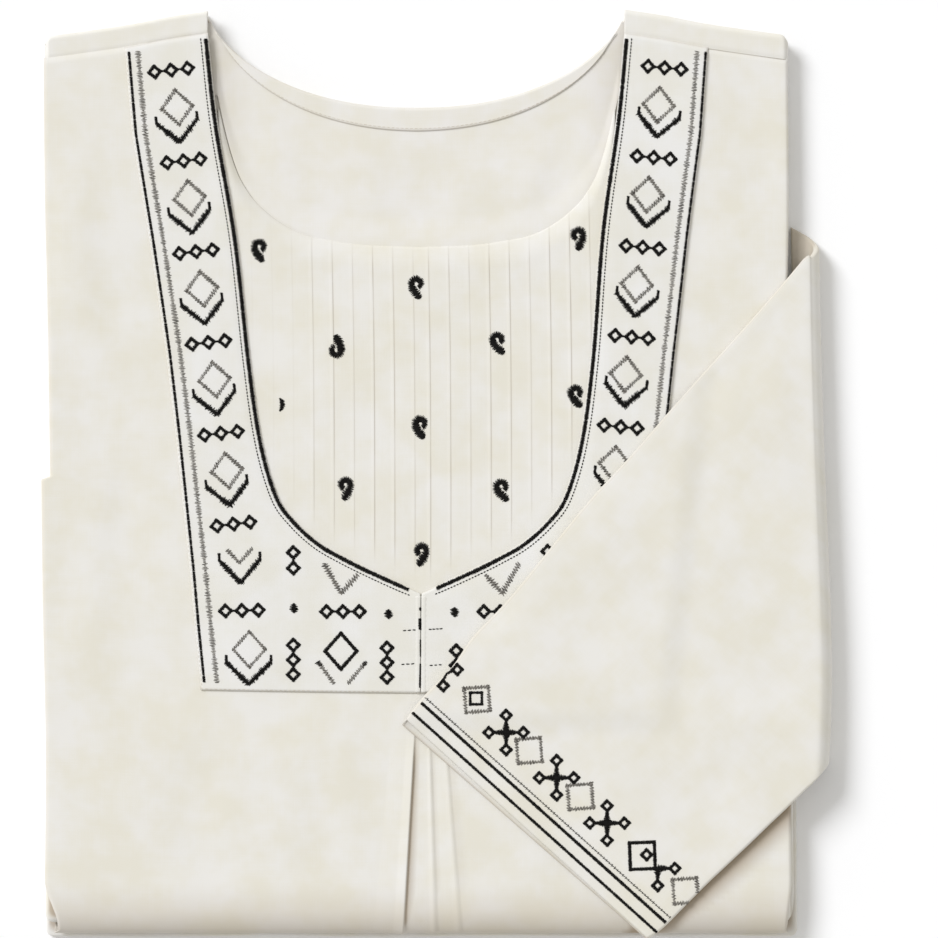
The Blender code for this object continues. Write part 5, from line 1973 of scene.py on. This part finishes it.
@dataclass
class CuffDesign:
    """The cuff's lines and the border of crosses and squares above them."""

    corner: tuple[float, float] = (-12.1, -119.2)
    far_corner: tuple[float, float] = (109.6, -228.6)
    heavy_inset: float = 6.6
    chain_inset: float = 9.9
    first_cross: tuple[float, float] = (34.5, -129.0)
    cross_step: tuple[float, float] = (25.2, -22.6)
    arm: float = 8.6

    def _line(self, inset: float) -> Array:
        """A line along the cuff, moved in from its lowest row of stitches."""
        ends = np.array([self.corner, self.far_corner], float)
        run = ends[1] - ends[0]
        inward = np.array([-run[1], run[0]]) / np.hypot(*run)
        return ends + inward * inset

    def _cross(self, work: Embroidery, centre: Array, arms: tuple[int, ...] = (0, 1, 2, 3)) -> None:
        """A cross with a small diamond on each of its arms."""
        for number in arms:
            way = placed([(1.0, 0.0)], (0, 0), 90.0 * number)[0]
            work.outline(Stitch.SATIN, centre + way * self.arm, (2.5, 2.5), 0.0, 1.85)
            work.row(Stitch.SATIN, [centre, centre + way * (self.arm - 2.4)], np.array([4.4, 1.5]))

    def draw(self, work: Embroidery) -> None:
        """Add the lines and the border.

        Args:
            work: Where the paths go.
        """
        steps = np.linspace(0.0, 1.0, 80)[:, None]
        low, heavy, chain = (self._line(inset) for inset in (0.0, self.heavy_inset, self.chain_inset))
        work.dashed(low[0] + steps * (low[1] - low[0]), 1.65, 3.0, 0.25)
        work.dashed(heavy[0] + steps * (heavy[1] - heavy[0]), 1.8, 6.0, 0.2)
        work.row(Stitch.CHAIN, chain[0] + steps * (chain[1] - chain[0]), 1.4)
        for number in range(4):
            centre = np.add(self.first_cross, np.multiply(self.cross_step, number))
            self._cross(work, centre, (0, 3) if number == 3 else (0, 1, 2, 3))
        for spot in ((10.1, -97.6), (3.1, -105.6), (104.6, -190.0)):
            work.outline(Stitch.SATIN, spot, (2.5, 2.5), 0.0, 1.9)
        work.row(Stitch.SATIN, [(7.6, -98.2), (4.9, -99.6), (3.0, -102.9)], 1.7)
        for x, y in ((20.0, -112.5), (46.0, -138.0), (71.5, -161.0), (124.0, -208.0)):
            work.outline(Stitch.SEED, (x, y), (6.0, 6.0), 4.0, 2.1, square=True)
        work.outline(Stitch.SATIN, (19.5, -112.0), (2.9, 2.9), 0.0, 1.6, square=True)
        work.outline(Stitch.SATIN, (102.5, -190.5), (6.2, 6.6), 2.0, 2.0, square=True)


TACKS = Table(
    "start_x end_x y",
    (-16.2, -11.4, -78.2),
    (-3.4, 2.0, -77.6),
    (-17.0, -12.2, -95.1),
    (-2.9, 1.6, -95.6),
)
PAISLEYS = Table(
    "x y mirrored turn",
    (-89.0, 111.5, 1, 0),
    (-10.5, 93.0, 1, 0),
    (71.0, 117.5, -1, 10),
    (-50.0, 64.0, 1, 170),
    (30.5, 65.0, 1, 12),
    (-8.5, 23.0, 1, 0),
    (69.5, 38.5, 1, 8),
    (-45.5, -7.5, -1, 5),
    (32.5, -8.5, 1, 12),
    (-7.7, -40.5, -1, 0),
)
PART_MOTIF = Table(
    "x y span",
    (-78.6, 37.8, 1.0),
    (-77.6, 36.6, 2.4),
    (-77.2, 34.8, 3.0),
    (-77.7, 32.8, 2.4),
    (-78.6, 31.6, 1.0),
)


def draw_tacks(work: Embroidery, side: int) -> None:
    """Add the short black tacks beside the slit, on one half of the yoke."""
    for start_x, end_x, y in TACKS.rows:
        if (start_x > -8.0) == (side > 0):
            work.row(Stitch.RUNNING, [(start_x, y), (end_x, y + 0.3)], 1.8)


def draw_slit(work: Embroidery) -> None:
    """Add the dark catch stitches down the slit."""
    for top, bottom, width in ((-66.9, -67.9, 1.3), (-72.4, -77.6, 1.9), (-83.0, -91.0, 0.45)):
        work.row(Stitch.SATIN, [(-8.45, top), (-8.4, bottom)], width)
    work.row(Stitch.SATIN, [(-8.4, -95.0), (-8.6, -106.5)], np.array([0.7, 1.0]))


# ---------------------------------------------------------------- studio
@dataclass
class Studio:
    """A pale floor, soft light from the upper left and a camera straight above."""

    view_centre: tuple[float, float] = (0.016, 0.0025)
    view_width: float = 0.469
    camera_height: float = 3.0
    cloth_height: float = 0.014
    sensor: float = 36.0
    floor_size: float = 6.0
    sky_share: float = 0.60
    light_share: float = 0.445
    light_elevation: float = 39.0
    light_turn: float = -131.0
    light_spread: float = 24.0
    light_colour: tuple[float, float, float] = (0.985, 1.0, 1.04)
    sky_colour: Colour = (1.0, 0.99, 0.965, 1.0)
    floor_z: float = -0.0003

    def build(self) -> None:
        """Make the floor, the light, the world and the camera."""
        scene = bpy.context.scene
        scene.view_settings.view_transform = "Standard"
        mesh = bpy.data.meshes.new("floor")
        half = self.floor_size / 2
        corners = [(x * half, y * half, self.floor_z) for x, y in ((-1, -1), (1, -1), (1, 1), (-1, 1))]
        mesh.from_pydata(corners, [], [(0, 1, 2, 3)])
        mesh.materials.append(WHITE_PAPER.material())
        in_scene(mesh)
        self._window_light()
        scene.world = bpy.data.worlds.new("studio")
        scene.world.use_nodes = True
        sky = {"Color": self.sky_colour, "Strength": self.sky_share}
        NodeBench(scene.world.node_tree).feed(scene.world.node_tree.nodes["Background"], sky)
        lens = bpy.data.cameras.new("camera")
        lens.sensor_width = self.sensor
        lens.lens = self.sensor * (self.camera_height - self.cloth_height) / self.view_width
        scene.camera = in_scene(lens)
        scene.camera.location = (*self.view_centre, self.camera_height)

    def _window_light(self) -> None:
        """Even, soft-edged light across the garment, as from a far window."""
        light = bpy.data.lights.new("window_light", "SUN")
        light.angle = math.radians(self.light_spread)
        light.energy = self.light_share * math.pi / math.sin(math.radians(self.light_elevation))
        light.color = self.light_colour
        turns = (90.0 - self.light_elevation, 0.0, self.light_turn)
        in_scene(light).rotation_euler = [math.radians(turn) for turn in turns]


def sew_embroidery(cloths: dict[str, Object], yokes: dict[str, YokeHalf], back: BackPanel) -> None:
    """Sew every design and seam onto the finished cloths.

    Args:
        cloths: The cloth pieces by the node that they stand for.
        yokes: The yoke halves by their node's name.
        back: The back panel, which knows its seams.
    """
    tree = StitchTree()
    for strap, name, seed in ((LEFT_STRAP, "yoke_left", 100), (RIGHT_STRAP, "yoke_right", 120)):
        work = Embroidery(name, cloths[name])
        strap.draw(work, yokes[name])
        FootDesign().draw(work, strap.side)
        draw_tacks(work, strap.side)
        work.sew(tree, seed)
    bib = Embroidery("bib", cloths["bib"])
    for x, y, mirrored, turn in PAISLEYS.rows:
        bib.paisley((x, y), mirrored, turn)
    bib.row(Stitch.SATIN, PART_MOTIF.rows[:, :2], PART_MOTIF.column("span"))
    bib.sew(tree, 140)
    sleeve = Embroidery("sleeve", cloths["sleeve"])
    CuffDesign().draw(sleeve)
    sleeve.sew(tree, 160)
    slit = Embroidery("slit", cloths["slit_binding_left"])
    draw_slit(slit)
    slit.sew(tree, 180)
    seams = (
        ("facing_seam", "back_neck_facing", back.facing_line(0.9), 190),
        ("yoke_left_seam", "yoke_left", yokes["yoke_left"].outer_seam(), 200),
        ("yoke_right_seam", "yoke_right", yokes["yoke_right"].outer_seam(), 210),
    )
    for name, node, line, seed in seams:
        seam = Embroidery(name, cloths[node])
        seam.row(Stitch.SEAM, line, 1.7)
        seam.sew(tree, seed)


def main() -> None:
    """Build the tunic, its stitching and the studio."""
    logging.basicConfig(level=logging.INFO, format="%(name)s %(message)s")
    Studio().build()
    FoldedLayers().build()
    back = BackPanel()
    back.build_inside()
    cloths = {"back_neck_facing": back.build_facing()}
    for side, name in SIDES:
        back.build_shoulder(f"back_shoulder_{name}", side)
    FrontPanel().build()
    cloths["bib"] = Bib().build()
    yokes = {}
    for side, name in SIDES:
        binding = SlitBinding(f"slit_binding_{name}", side)
        cloths[binding.name] = binding.build()
        yoke = YokeHalf(f"yoke_{name}", side)
        yokes[yoke.name] = yoke
        cloths[yoke.name] = yoke.build(cloths[binding.name])
    cloths["sleeve"] = Sleeve().build()
    sew_embroidery(cloths, yokes, back)


if __name__ == "__main__":
    main()
